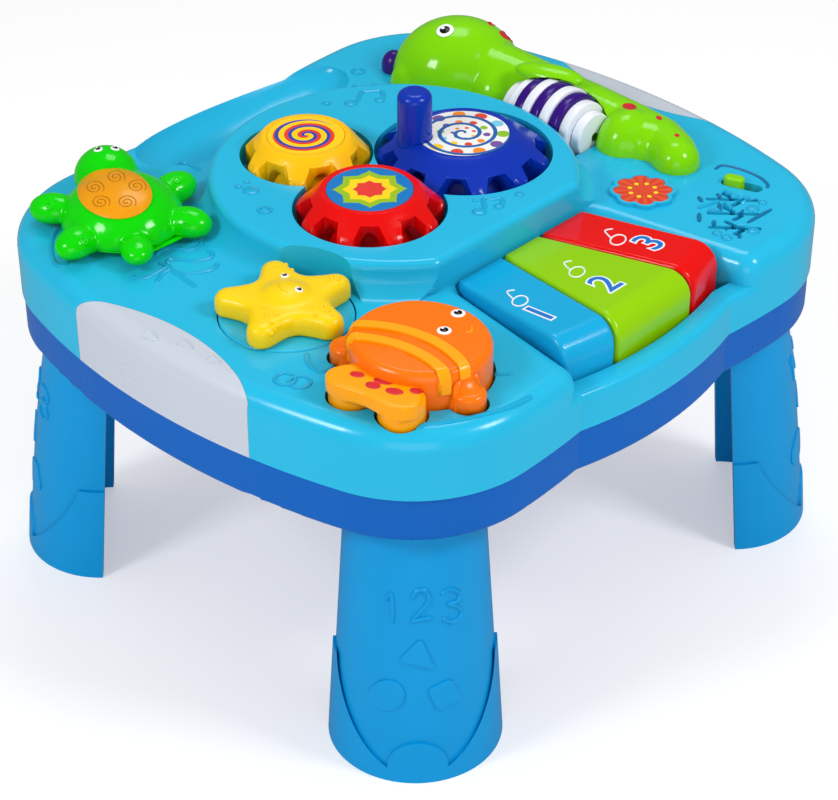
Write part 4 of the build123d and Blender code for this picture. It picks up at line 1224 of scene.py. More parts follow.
@dataclass
class Housing(SubAssembly):
    """The table's top, its white edge panels and its blue lower band, with their moulded patterns."""

    line: float = 0.75 * MM
    bubble_rise: float = 0.9 * MM
    stroke: float = 1.3 * MM
    stroke_sink: float = 0.45
    rings: tuple[tuple[Pixel, float], ...] = (
        ((358.0, 71.5), 2.6 * MM), ((264.7, 210.3), 2.4 * MM), ((285.1, 379.5), 3.9 * MM),
        ((299.9, 382.5), 3.9 * MM),
    )
    bubbles: tuple[tuple[Pixel, float], ...] = (
        ((354.7, 86.3), 1.2 * MM), ((374.2, 84.7), 1.2 * MM), ((326.5, 103.6), 1.9 * MM),
        ((403.5, 91.7), 1.9 * MM), ((519.5, 194.7), 2.0 * MM), ((475.0, 201.0), 1.2 * MM),
        ((251.0, 191.0), 3.6 * MM), ((238.5, 187.0), 1.5 * MM), ((246.5, 182.5), 1.3 * MM),
        ((432.4, 292.5), 2.6 * MM), ((350.9, 103.4), 2.9 * MM), ((379.6, 100.4), 2.2 * MM),
        ((479.3, 212.0), 3.0 * MM), ((498.9, 206.6), 2.2 * MM),
    )
    strokes: tuple[tuple[Pixel, ...], ...] = (
        ((357.5, 102.0), (361.5, 92.5), (368.0, 92.0), (381.0, 91.5), (384.0, 99.0)),
        ((485.5, 210.0), (483.5, 199.0), (492.0, 199.5), (501.0, 199.0), (503.5, 205.0)),
        ((58.8, 227.1), (52.8, 236.5), (50.8, 248.6), (53.4, 260.6), (58.5, 265.3), (64.8, 264.6),
         (68.2, 261.3)),
        ((131.1, 275.4), (136.0, 278.7), (145.2, 278.7), (154.5, 274.0), (166.6, 266.6), (158.0, 263.0)),
        ((155.9, 255.3), (165.3, 248.5), (189.4, 249.9), (200.0, 245.9), (200.0, 241.2), (188.0, 237.9)),
        ((166.6, 264.0), (172.0, 259.3), (194.7, 261.3), (209.5, 258.6), (212.1, 253.9), (206.8, 250.6)),
        ((173.3, 271.3), (184.0, 274.0), (205.0, 272.0), (214.8, 268.0), (216.8, 263.6)),
        ((165.3, 263.3), (173.3, 271.3), (182.7, 278.0), (196.0, 287.4)),
        ((156.0, 283.0), (162.6, 274.0), (170.5, 269.5)), ((174.0, 162.9), (188.0, 164.2), (200.0, 170.9)),
        ((306.8, 352.8), (307.8, 362.7), (315.7, 370.6), (325.6, 370.6), (333.5, 363.7), (339.4, 354.8)),
        ((414.6, 425.0), (440.0, 423.2), (462.0, 419.5), (490.0, 413.0), (515.0, 405.0), (532.0, 396.0)),
        ((491.5, 372.6), (498.0, 374.6), (504.5, 375.0), (513.4, 374.2)),
    )
    doodles: tuple[tuple[Pixel, ...], ...] = (
        ((140.0, 337.0), (150.0, 330.0), (158.0, 340.0), (140.0, 337.0)),
        ((176.0, 345.0), (184.0, 339.0), (193.0, 349.0), (176.0, 345.0)),
        ((205.0, 361.0), (213.0, 355.0), (221.0, 364.0), (205.0, 361.0)),
    )

    def dress(self) -> None:
        """Finish the housing's own nodes."""
        Plastic.SKY.dress("top_shell")
        Plastic.BAND.dress("base_tray", "battery_cover")
        Plastic.WHITE.dress("side_panel_left", "side_panel_right")
        Plastic.STEEL.dress("housing_screws", "battery_cover_screw")

    def build(self) -> None:
        """Model the raised bubbles, notes and weeds on the top and the marks on the panel."""
        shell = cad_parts["top_shell"]
        marks = [hoop("ring", VIEW.touch(shell, pixel), radius, self.line) for pixel, radius in self.rings]
        for pixel, radius in self.bubbles:
            marks.append(bead("bubble", VIEW.touch(shell, pixel), radius, self.bubble_rise))
        sink = self.stroke_sink * self.stroke
        for stroke in self.strokes:
            marks.append(trace("stroke", through(stroke), shell, self.stroke, sink=sink))
        # The top's marks wear the darker copy of the sky plastic: painted shade on the raised relief.
        hand_over(join(marks, "top_relief"), Plastic.RELIEF_PAINTED_SHADE, Body.TABLE)
        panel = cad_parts["side_panel_left"]
        thin = 0.5 * self.line
        doodles = [trace("doodle", through(doodle, steps=4), panel, thin) for doodle in self.doodles]
        hand_over(join(doodles, "panel_relief"), Plastic.WHITE, Body.TABLE)


@dataclass
class Legs(SubAssembly):
    """Four plug-in legs with raised numbers and shapes on their outer faces."""

    line: float = 0.9 * MM
    rise: float = 0.7 * MM
    one: tuple[Pixel, ...] = ((386.0, 600.0), (391.0, 594.0), (392.5, 608.0), (392.5, 623.0))
    two: tuple[Pixel, ...] = (
        (412.0, 599.0), (416.0, 591.5), (424.0, 590.0), (429.0, 597.0), (425.0, 606.0), (412.5, 620.0),
        (421.0, 619.0), (432.0, 617.5),
    )
    three: tuple[Pixel, ...] = (
        (441.0, 594.0), (450.0, 589.0), (459.0, 593.0), (456.5, 601.0), (448.5, 604.0), (458.0, 606.5),
        (461.0, 614.0), (453.0, 621.5), (442.0, 618.0),
    )
    triangle: tuple[Pixel, ...] = ((421.0, 637.0), (436.0, 670.0), (397.0, 661.0))
    disc: tuple[Pixel, float, float] = ((387.0, 695.0), 18.0, 15.5)
    square: tuple[Pixel, ...] = ((427.0, 689.0), (451.0, 678.0), (463.0, 699.0), (438.0, 711.0))

    def dress(self) -> None:
        """Finish the four legs."""
        Plastic.LEG.dress("leg_front_left", "leg_front_right", "leg_rear_left", "leg_rear_right")

    def rounded(self, corners: Sequence[Pixel], share: float = 0.12) -> list[Pixel]:
        """Cut the corners of a polygon a little, so that its plate looks moulded.

        Args:
            corners: Corners of the polygon.
            share: Part of each side that is cut.

        Returns:
            Two points for each corner and one in the middle of each side.
        """
        outline = []
        for place, corner in enumerate(corners):
            here = Vector(corner)
            for other in (corners[place - 1], corners[(place + 1) % len(corners)]):
                outline.append(tuple(here.lerp(Vector(other), share)))
            outline.append(tuple(here.lerp(Vector(corners[(place + 1) % len(corners)]), 0.5)))
        return outline

    def build(self) -> None:
        """Model the marks once on the front leg and copy them round to the others."""
        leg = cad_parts["leg_front_left"]
        digits = (self.one, self.two, self.three)
        shapes = (self.rounded(self.triangle), oval(*self.disc), self.rounded(self.square))
        marks = [trace("digit", through(stroke), leg, self.line) for stroke in digits]
        marks += [plate("shape", outline, leg, self.rise, 2 * self.rise) for outline in shapes]
        first = join(marks, "leg_front_left_relief")
        home = sum(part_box("leg_front_left"), Vector()) / 2
        for quarter, name in enumerate(("leg_front_right", "leg_rear_right", "leg_rear_left"), start=1):
            copy = bpy.data.objects.new(f"{name}_relief", first.data.copy())
            bpy.context.scene.collection.objects.link(copy)
            place = sum(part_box(name), Vector()) / 2
            turn = Matrix.Rotation(quarter * math.pi / 2, 4, "Z")
            copy.matrix_world = Matrix.Translation(place) @ turn @ Matrix.Translation(-home)
            hand_over(settle(copy, copy.name), Plastic.LEG, Body.TABLE)
        hand_over(first, Plastic.LEG, Body.TABLE)


@dataclass(frozen=True)
class Gear:
    """One gear of the train: its node, its body, its finish and its teeth."""

    node: str
    body: Body
    finish: Finish
    teeth: int
    tip: float
    scoop: Triple
    liner: tuple[float, float]
    rise: float = 15.4
    tip_band: float = 0.2
    scoop_offset: float = 0.5
    liner_lift: float = 0.2
    liner_bevel: float = 0.6

    def build(self, foot: float) -> None:
        """Copy the CAD gear, scoop an arch out of each gap between its teeth and line its inside.

        Args:
            foot: Height of the gear's underside in millimetres.
        """
        gear = node_copy(self.node, f"{self.node}_scooped")
        low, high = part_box(f"{self.node}_label")
        middle = (low + high) / 2 / MM
        across, along = 0.0, 0.0
        for vertex in gear.data.vertices:
            x, y = vertex.co.x / MM - middle.x, vertex.co.y / MM - middle.y
            if math.hypot(x, y) > self.tip - self.tip_band:
                across += math.sin(self.teeth * math.atan2(y, x))
                along += math.cos(self.teeth * math.atan2(y, x))
        first = math.atan2(across, along) / self.teeth
        tools = []
        reach = self.tip + self.scoop_offset
        for gap in range(self.teeth):
            turn = first + math.tau * (gap + 0.5) / self.teeth
            centre = (middle.x + reach * math.cos(turn), middle.y + reach * math.sin(turn), foot)
            tools.append(blob("scoop", centre, self.scoop, math.degrees(turn)))
        combine(gear, join(tools, "scoops"))
        clear_selection()
        wide, narrow = self.liner
        bpy.ops.mesh.primitive_cone_add(
            vertices=ROUND_POINTS, radius1=wide * MM, radius2=narrow * MM, depth=self.rise * MM
        )
        liner = bpy.context.object
        apply_modifier(liner, "BEVEL", width=self.liner_bevel * MM, segments=2, limit_method="ANGLE")
        height = foot + self.liner_lift + self.rise / 2
        liner.location = (middle.x * MM, middle.y * MM, height * MM)
        gear = join([gear, settle(liner, "liner")], gear.name)
        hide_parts(self.node)
        hand_over(gear, self.finish, self.body, crease=32.0)


@dataclass
class GearTrain(SubAssembly):
    """Three meshing gears with printed discs and a crank knob."""

    foot: float = 165.0
    gears: tuple[Gear, ...] = (
        Gear(
            "yellow_gear", Body.YELLOW_GEAR, Plastic.GEAR_YELLOW, 7, 26.5, (11.0, 6.4, 12.5), (19.6, 15.6)
        ),
        Gear("red_gear", Body.RED_GEAR, Plastic.GEAR_RED, 9, 30.0, (12.5, 6.0, 13.0), (21.6, 17.0)),
        Gear("blue_gear", Body.BLUE_GEAR, Plastic.GEAR_BLUE, 11, 36.0, (13.0, 6.2, 14.0), (27.0, 19.0)),
    )

    def dress(self) -> None:
        """Finish the prints, the knob and the gears' screws."""
        Plastic.GEAR_BLUE.dress("crank_knob")
        YELLOW_LABEL.dress("yellow_gear_label")
        RED_LABEL.dress("red_gear_label")
        BLUE_LABEL.dress("blue_gear_label")
        Plastic.STEEL.dress("yellow_gear_screw", "red_gear_screw", "blue_gear_screw")

    def build(self) -> None:
        """Model the three gears."""
        for gear in self.gears:
            gear.build(self.foot)


@dataclass
class Keyboard(SubAssembly):
    """Three piano keys with a printed number and a note on each."""

    type_size: float = 19.0 * MM
    layers: tuple[tuple[str, float, float, Finish], ...] = (
        ("number_edge", 0.9 * MM, 0.12 * MM, Plastic.OUTLINE),
        ("number", 0.1 * MM, 0.2 * MM, Plastic.INK),
    )
    line: float = 0.35 * MM
    note_drop: float = 4.0
    note_head: Triple = (8.0, 5.0, -12.0)
    note_stem: tuple[Pixel, ...] = ((-7.0, 2.0), (-13.0, -5.0), (-5.0, -7.0))
    keys: tuple[tuple[str, Body, str, Pixel, Pixel], ...] = (
        ("blue_key", Body.BLUE_KEY, "1", (541.0, 314.0), (520.0, 297.0)),
        ("green_key", Body.GREEN_KEY, "2", (606.0, 284.0), (577.0, 268.0)),
        ("red_key", Body.RED_KEY, "3", (650.0, 243.0), (618.0, 236.0)),
    )

    def dress(self) -> None:
        """Finish the keys, their hinge rod and their rubber domes."""
        Plastic.KEY_BLUE.dress("blue_key")
        Plastic.KEY_LIME.dress("green_key")
        Plastic.KEY_RED.dress("red_key")
        Plastic.STEEL.dress("key_hinge_rod")
        Plastic.RUBBER.dress("blue_key_dome", "green_key_dome", "red_key_dome")

    def build(self) -> None:
        """Print a number with a white edge and a white note on each key."""
        for name, body, text, place, (x, y) in self.keys:
            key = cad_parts[name]
            seat = VIEW.touch(key, place)
            for label, spread, rise, finish in self.layers:
                digit = numeral(f"{name}_{label}", text, seat, self.type_size, spread, rise)
                hand_over(digit, finish, body)
            outline = oval((x, y + self.note_drop), *self.note_head)
            head = trace("head", outline, key, self.line, closed=True)
            stroke = through([(x + right, y + down) for right, down in self.note_stem])
            stem = trace("stem", stroke, key, self.line)
            hand_over(join([head, stem], f"{name}_note"), Plastic.OUTLINE, body)


@dataclass
class Turtle(SubAssembly):
    """The press-down turtle with its amber shell window."""

    voxel: float = 0.8 * MM
    rounds: int = 8
    lap: float = 0.1
    tail: Lump = ((-111.5, 48.6, 168.2), (9.0, 6.8, 4.9), 50.0)
    dome: Lump = ((-95.7, 75.4, 164.5), (26.6, 25.2, 18.0), 63.0)
    window: tuple[Pixel, float, float, float] = ((115.0, 194.0), 37.0, 25.0, 6.0)
    window_points: int = 48
    window_rise: float = 0.5 * MM
    window_depth: float = 2.4 * MM
    window_cuts: int = 6
    eyes: tuple[Eye, ...] = (
        Eye("turtle_eye_left", (98.3, 149.5), 1.9 * MM),
        Eye("turtle_eye_right", (115.0, 148.5), 1.9 * MM),
    )
    spirals: tuple[Pixel, ...] = (
        (94.5, 187.5), (115.5, 177.0), (136.5, 186.0), (100.5, 202.0), (126.5, 202.0),
    )
    spiral_steps: int = 36
    spiral_start: float = 0.08
    spiral_reach: tuple[float, float] = (10.0, 7.2)
    spiral_turns: float = 2.1
    spiral_line: float = 0.22 * MM
    flipper_ring: tuple[float, float] = (1.4 * MM, 0.35 * MM)
    flipper_dot: tuple[float, float] = (0.7 * MM, 0.4 * MM)
    rings: tuple[Pixel, ...] = ((50.0, 206.0), (84.2, 241.2), (177.0, 180.0), (186.0, 225.8))
    dots: tuple[Pixel, ...] = (
        (58.1, 197.0), (55.0, 200.0), (68.8, 236.5), (74.2, 235.2), (80.2, 237.9), (165.3, 173.5),
        (160.0, 175.5), (189.4, 214.4), (184.0, 213.0),
    )

    def dress(self) -> None:
        """Finish the nodes that stay as they are."""
        Plastic.STEEL.dress("turtle_screw")
        Plastic.RUBBER.dress("turtle_dome")
        Plastic.BOARD.dress("turtle_board")

    def swirl(self, centre: Pixel) -> list[Pixel]:
        """List the pixels of one small spiral on the window.

        Args:
            centre: Middle of the spiral.

        Returns:
            Points from the middle outward.
        """
        across, down = self.spiral_reach
        line = []
        for step in range(self.spiral_steps + 1):
            share = step / self.spiral_steps
            turn = math.tau * self.spiral_turns * share
            reach = self.spiral_start + (1.0 - self.spiral_start) * share
            x = centre[0] + across * reach * math.cos(turn)
            line.append((x, centre[1] + down * reach * math.sin(turn)))
        return line

    def build(self) -> None:
        """Model the body on its CAD stem, the window with its spirals, the eyes and the flipper marks."""
        pieces = [node_copy("turtle_body", "turtle_copy")]
        pieces.append(blob("turtle_tail", *self.tail))
        underside = self.dome[0][2]
        pieces.append(cut_level(blob("turtle_dome_lump", *self.dome), underside))
        body = cut_level(melt(pieces, "turtle_body_moulded", self.voxel, self.rounds), underside + self.lap)
        stem = cut_level(node_copy("turtle_body", "turtle_stem"), underside + 4 * self.lap, above=False)
        combine(body, stem, Blend.UNITE)
        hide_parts("turtle_body")
        hand_over(body, Plastic.TURTLE, Body.TURTLE, SOFT_CREASE)
        outline = oval(*self.window, self.window_points)
        lens = plate("turtle_window", outline, body, self.window_rise, self.window_depth, self.window_cuts)
        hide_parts("turtle_lens")
        hand_over(lens, Plastic.LENS, Body.TURTLE)
        for eye in self.eyes:
            eye.build(body, Body.TURTLE)
        swirls = [trace("swirl", self.swirl(centre), lens, self.spiral_line) for centre in self.spirals]
        hand_over(join(swirls, "turtle_lens_spirals"), Plastic.LENS_LINE, Body.TURTLE)
        marks = [hoop("ring", VIEW.touch(body, pixel), *self.flipper_ring) for pixel in self.rings]
        marks += [bead("dot", VIEW.touch(body, pixel), *self.flipper_dot) for pixel in self.dots]
        hand_over(join(marks, "turtle_flipper_marks"), Plastic.TURTLE, Body.TURTLE)


@dataclass
class Starfish(SubAssembly):
    """The starfish on its turntable."""

    eyes: tuple[Eye, ...] = (
        Eye("star_eye_left", (284.7, 275.7), 1.7 * MM),
        Eye("star_eye_right", (298.9, 289.5), 1.7 * MM),
    )
    smile: tuple[Pixel, ...] = ((279.0, 283.0), (281.0, 289.0), (288.0, 292.0))
    voxel: float = 0.8 * MM
    rounds: int = 26
    bump: tuple[float, float] = (0.9 * MM, 0.72 * MM)
    bumps: tuple[Pixel, ...] = (
        (276.2, 267.2), (286.1, 264.8), (292.0, 268.0), (331.5, 277.7), (337.5, 279.7), (327.6, 279.7),
        (264.3, 307.3), (266.3, 315.2), (270.2, 323.2), (272.2, 334.0), (278.2, 326.1), (276.2, 315.2),
        (311.8, 307.3), (321.7, 307.3), (327.6, 311.3), (315.7, 315.2), (325.6, 305.4), (331.5, 315.2),
    )

    def dress(self) -> None:
        """Finish the disc and its screw."""
        Plastic.SKY.dress("star_disc")
        Plastic.STEEL.dress("star_screw")

    def build(self) -> None:
        """Model the puffy starfish with its bumps and its face."""
        star = melt([node_copy("starfish", "star_copy")], "starfish_moulded", self.voxel, self.rounds)
        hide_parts("starfish")
        hand_over(star, Plastic.STAR, Body.STAR, SOFT_CREASE)
        bumps = [bead("bump", VIEW.touch(star, pixel), *self.bump) for pixel in self.bumps]
        hand_over(join(bumps, "star_bumps"), Plastic.STAR, Body.STAR)
        for eye in self.eyes:
            eye.build(star, Body.STAR)
        hand_over(trace("star_smile", through(self.smile), star, SMILE_LINE), Plastic.STAR, Body.STAR)


@dataclass
class Fish(SubAssembly):
    """The press-down fish with stripes and a spotted tail."""

    eyes: tuple[Eye, ...] = (
        Eye("fish_eye_left", (458.1, 313.3), 2.8 * MM),
        Eye("fish_eye_right", (444.2, 330.5), 2.8 * MM),
    )
    smile: tuple[Pixel, ...] = ((472.0, 326.0), (471.5, 331.0), (466.5, 332.5))
    spots: tuple[tuple[Pixel, float, float, float], ...] = (
        ((357.2, 374.5), 7.5, 3.0, 8.0), ((383.9, 381.0), 10.5, 3.6, 8.0), ((373.0, 385.4), 7.8, 3.6, 8.0),
        ((394.4, 391.4), 9.2, 3.4, 8.0), ((416.0, 391.0), 6.5, 3.0, 8.0),
    )
    foot: float = 161.0 * MM
    stretch: float = 1.36
    fin_stretch: float = 0.8
    half_length: float = 26.0
    half_width: float = 27.5
    body_edge: float = 1.04
    place: tuple[float, float] = (-88.4, -84.0)
    heading: float = 9.0
    tail_bottom: float = 164.5
    tail_height: float = 6.2
    tail_voxel: float = 0.6 * MM
    tail_rounds: int = 9
    tail_plan: tuple[Pixel, ...] = (
        (-19.0, 9.0), (-24.0, 16.0), (-30.5, 20.0), (-36.5, 17.0), (-37.6, 9.0), (-36.8, 0.0), (-37.6, -9.0),
        (-36.5, -17.0), (-30.5, -20.0), (-24.0, -16.0), (-19.0, -9.0),
    )

    def dress(self) -> None:
        """Finish what lies below the fish."""
        Plastic.RUBBER.dress("fish_dome")
        Plastic.BOARD.dress("fish_board")

    def raised(self, node: str, finish: Finish) -> Thing:
        """Copy a node and stretch it upward from the table top.

        Args:
            node: Name of the node that the copy replaces.
            finish: Finish that it wears.

        Returns:
            The copy.
        """
        copy = node_copy(node, f"{node}_raised")
        for vertex in copy.data.vertices:
            x, y = vertex.co.x / MM - self.place[0], vertex.co.y / MM - self.place[1]
            turn = math.atan2(y, x) - math.radians(self.heading)
            across = math.hypot(x, y) * abs(math.sin(turn)) / self.half_width
            along = math.hypot(x, y) * math.cos(turn) / self.half_length
            stretch = self.stretch if math.hypot(across, along) < self.body_edge else self.fin_stretch
            vertex.co.z += max(vertex.co.z - self.foot, 0.0) * (stretch - 1.0)
        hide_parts(node)
        return hand_over(copy, finish, Body.FISH, crease=30.0)

    def tail(self) -> Thing:
        """Model the bow-tie tail: the two lobes with a waist between them.

        Returns:
            The tail, which replaces its node.
        """
        block = sheet(through(self.tail_plan, closed=True, steps=5), MM)
        edit_all(block)
        rise = (0.0, 0.0, self.tail_height * MM)
        bpy.ops.mesh.extrude_region_move(TRANSFORM_OT_translate={"value": rise})
        bpy.ops.object.mode_set(mode="OBJECT")
        block.location = (self.place[0] * MM, self.place[1] * MM, self.tail_bottom * MM)
        block.rotation_euler.z = math.radians(self.heading)
        settle(block, "tail_block")
        close_mesh(block)
        pieces = [node_copy("fish_tail", "tail_copy"), block]
        form = melt(pieces, "fish_tail_moulded", self.tail_voxel, self.tail_rounds)
        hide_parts("fish_tail")
        return hand_over(form, Plastic.AMBER, Body.FISH, SOFT_CREASE)

    def build(self) -> None:
        """Model the tall body, its tail, the face and the spots."""
        body = self.raised("fish_body", Plastic.FISH)
        self.raised("fish_stripes", Plastic.AMBER)
        tail = self.tail()
        for eye in self.eyes:
            eye.build(body, Body.FISH)
        hand_over(trace("fish_smile", through(self.smile), body, SMILE_LINE), Plastic.AMBER, Body.FISH)
        print_spots("fish_tail_spot", self.spots, tail, Body.FISH)


@dataclass
class Seahorse(SubAssembly):
    """The seahorse along the right edge, with its ribbed roller."""

    eye: Eye = Eye("seahorse_eye", (445.0, 30.4), 4.0 * MM)
    spots: tuple[tuple[Pixel, float, float, float], ...] = (
        ((507.0, 35.5), 8.5, 3.6, 28.0), ((491.0, 23.5), 3.6, 2.0, 20.0), ((629.4, 106.5), 7.2, 3.2, 8.0),
        ((659.0, 118.0), 3.4, 1.8, 20.0), ((677.0, 135.4), 2.6, 1.6, 20.0),
    )
    voxel: float = 0.9 * MM
    rounds: int = 12
    lumps: tuple[Lump, ...] = (
        ((97.5, 67.7, 161.0), (29.5, 25.0, 27.0), -46.8), ((79.0, 76.0, 160.0), (12.0, 10.0, 13.0), -60.0),
        ((97.0, 42.0, 161.0), (15.0, 14.0, 15.0), 0.0), ((100.5, -29.0, 161.0), (15.0, 13.0, 15.5), 0.0),
        ((104.0, -38.0, 161.0), (13.0, 13.0, 13.0), 0.0),
    )
    back: tuple[tuple[float, float, float, float], ...] = (
        (102.0, 48.0, 163.0, 17.5), (107.0, 25.0, 163.0, 13.6), (108.0, 0.0, 162.5, 13.2),
        (108.0, -25.0, 162.0, 12.6), (107.0, -41.0, 162.0, 12.0), (103.0, -51.5, 162.5, 10.8),
        (99.8, -56.2, 162.5, 10.2),
    )
    leaf: Lump = ((97.4, 13.5, 180.0), (16.0, 6.2, 4.2), -71.0)
    crest: Lump = ((81.0, 91.8, 163.5), (5.6, 5.6, 7.0), 0.0)
    table_top: float = 161.0
    axis: tuple[float, float] = (89.6, 164.5)
    drum_radius: float = 17.0
    drum_swell: float = 25.6
    clearance: float = 0.9
    rib_bevel: float = 0.22
    cover: tuple[float, float, float, float] = (71.5, 107.5, -38.5, -20.4)
    cover_thick: float = 2.0
    cover_drop: float = 0.97
    cover_corner: float = 4.0

    def axle(self) -> None:
        """Model the axle, cut off in front of the shorter roller."""
        rod = cut(node_copy("drum_axle", "drum_axle_cut"), (0.0, ROLLER_FRONT * MM, 0.0), (0.0, 1.0, 0.0))
        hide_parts("drum_axle")
        hand_over(rod, Plastic.STEEL, Body.TABLE)

    def girth(self, along: float) -> float:
        """Radius of the roller at a place along its axle, in millimetres."""
        share = (along - (ROLLER_FRONT + ROLLER_REAR) / 2) / self.drum_swell
        return self.drum_radius * math.sqrt(1.0 - share**2)

    def envelope(self) -> Thing:
        """Model the room that the turning roller needs.

        Returns:
            A closed barrel.
        """
        middle = (ROLLER_FRONT + ROLLER_REAR) / 2
        wide = self.drum_radius + self.clearance
        long = self.drum_swell + 2 * self.clearance
        barrel = blob("roller_room", (self.axis[0], middle, self.axis[1]), (wide, long, wide))
        for end, way in ((ROLLER_FRONT - self.clearance, -1.0), (ROLLER_REAR + self.clearance, 1.0)):
            cut(barrel, (0.0, end * MM, 0.0), (0.0, way, 0.0), ahead=False)
        return barrel

    def roller(self) -> None:
        """Model the roller from bevelled ribs side by side."""
        pitch = (ROLLER_REAR - ROLLER_FRONT) / ROLLER_RIBS
        bevel = self.rib_bevel * pitch * MM
        pieces = []
        for rib in range(ROLLER_RIBS):
            along = ROLLER_REAR - (rib + 0.5) * pitch
            girth = self.girth(along) * MM
            clear_selection()
            bpy.ops.mesh.primitive_cylinder_add(vertices=ROUND_POINTS, radius=girth, depth=pitch * MM)
            ring = bpy.context.object
            apply_modifier(ring, "BEVEL", width=bevel, segments=3, limit_method="ANGLE")
            ring.rotation_euler.x = math.pi / 2
            ring.location = (self.axis[0] * MM, along * MM, self.axis[1] * MM)
            pieces.append(settle(ring, "rib"))
        drum = join(pieces, "seahorse_drum_ribbed")
        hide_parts("seahorse_drum")
        hand_over(drum, ROLLER_BANDS, Body.ROLLER, crease=35.0)

    def slot_cover(self) -> None:
        """Model the piece of table top that closes the slot in front of the roller."""
        left, right, front, rear = self.cover
        clear_selection()
        bpy.ops.mesh.primitive_cube_add(size=1.0)
        lid = bpy.context.object
        lid.scale = Vector((right - left, rear - front, self.cover_thick)) * MM
        height = self.table_top - self.cover_drop
        lid.location = Vector(((left + right) / 2, (front + rear) / 2, height)) * MM
        settle(lid, "roller_slot_cover")
        apply_modifier(lid, "BEVEL", width=self.cover_corner * MM, segments=4, affect="VERTICES")
        hand_over(lid, Plastic.SKY, Body.TABLE)

    def build(self) -> None:
        """Model the body, fin, crest, roller, axle and slot cover, then the eye and the spots."""
        lumps = [blob("lump", *lump) for lump in self.lumps]
        body = melt(lumps + spine("back", self.back), "seahorse_moulded", self.voxel, self.rounds)
        cut_level(body, self.table_top)
        combine(body, self.envelope())
        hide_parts("seahorse_body")
        hand_over(body, Plastic.SEAHORSE, Body.TABLE, crease=50.0)
        leaf = combine(blob("seahorse_fin", *self.leaf), self.envelope())
        hand_over(leaf, Plastic.SEAHORSE, Body.TABLE)
        crest = cut_level(blob("seahorse_crest_tip", *self.crest), self.table_top)
        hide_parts("seahorse_crest")
        hand_over(crest, Plastic.PURPLE, Body.TABLE)
        self.roller()
        self.axle()
        self.slot_cover()
        self.eye.build(body, Body.TABLE)
        print_spots("seahorse_spot", self.spots, body, Body.TABLE)


@dataclass
class PowerAndSound(SubAssembly):
    """The switch, the loudspeaker grille, the badge and what lies inside the housing."""

    slots: tuple[tuple[Pixel, Pixel], ...] = (
        ((698.5, 196.9), (701.9, 202.2)), ((699.2, 213.5), (699.2, 222.0)), ((713.9, 221.0), (713.9, 226.3)),
        ((719.3, 203.6), (720.0, 212.3)), ((717.3, 194.2), (720.6, 198.2)), ((743.4, 210.3), (726.0, 230.4)),
        ((739.4, 229.0), (739.4, 238.5)), ((771.5, 209.6), (747.4, 223.0)),
    )
    branches: tuple[tuple[Pixel, ...], ...] = (
        ((698.0, 208.5), (709.0, 205.0), (719.3, 200.9)), ((741.0, 203.5), (748.0, 200.5), (755.0, 198.5)),
        ((736.0, 225.5), (744.0, 226.5), (752.0, 230.0)),
    )
    blobs: tuple[tuple[Pixel, float], ...] = (
        ((713.9, 214.3), 3.2 * MM), ((727.3, 207.6), 2.6 * MM), ((752.8, 208.9), 2.8 * MM),
        ((727.0, 193.5), 1.8 * MM), ((734.5, 196.5), 1.9 * MM), ((717.0, 233.5), 2.0 * MM),
        ((726.5, 238.0), 2.2 * MM), ((753.5, 231.5), 2.7 * MM), ((762.5, 203.0), 1.9 * MM),
        ((746.0, 199.0), 1.5 * MM),
    )
    slot_line: float = 0.9 * MM
    switch_line: float = 0.7 * MM
    blob_rise: float = 1.1 * MM
    groove: tuple[Pixel, ...] = (
        (715.0, 169.5), (721.0, 166.0), (731.3, 167.0), (747.4, 172.0), (760.0, 178.0), (767.5, 184.5),
        (767.0, 188.0),
    )

    def dress(self) -> None:
        """Finish the switch, the badge and the inner pieces."""
        Plastic.SWITCH.dress("switch_slider")
        Plastic.BLACK.dress("switch_body", "speaker_cone")
        BADGE_PRINT.dress("shell_badge")
        Plastic.BOARD.dress("circuit_board")
        Plastic.CELL.dress("batteries")
        Plastic.STEEL.dress("battery_contacts", "speaker_frame")

    def build(self) -> None:
        """Model the grille's slots, the line round the switch and the coral pattern."""
        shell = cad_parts["top_shell"]
        cuts = [trace("slot", through(slot, steps=6), shell, self.slot_line) for slot in self.slots]
        cuts.append(trace("switch_line", through(self.groove), shell, self.switch_line))
        # The slots and the line round the switch are raised lines in deep blue: painted shade for openings
        # and a recess.
        hand_over(join(cuts, "grille_slots"), Plastic.PAINTED_SLOT_SHADE, Body.TABLE)
        coral = [trace("branch", through(line), shell, self.slot_line) for line in self.branches]
        for pixel, radius in self.blobs:
            coral.append(bead("blob", VIEW.touch(shell, pixel), radius, self.blob_rise))
        # The coral wears the darker copy of the sky plastic: painted shade on the raised relief.
        hand_over(join(coral, "grille_relief"), Plastic.RELIEF_PAINTED_SHADE, Body.TABLE)


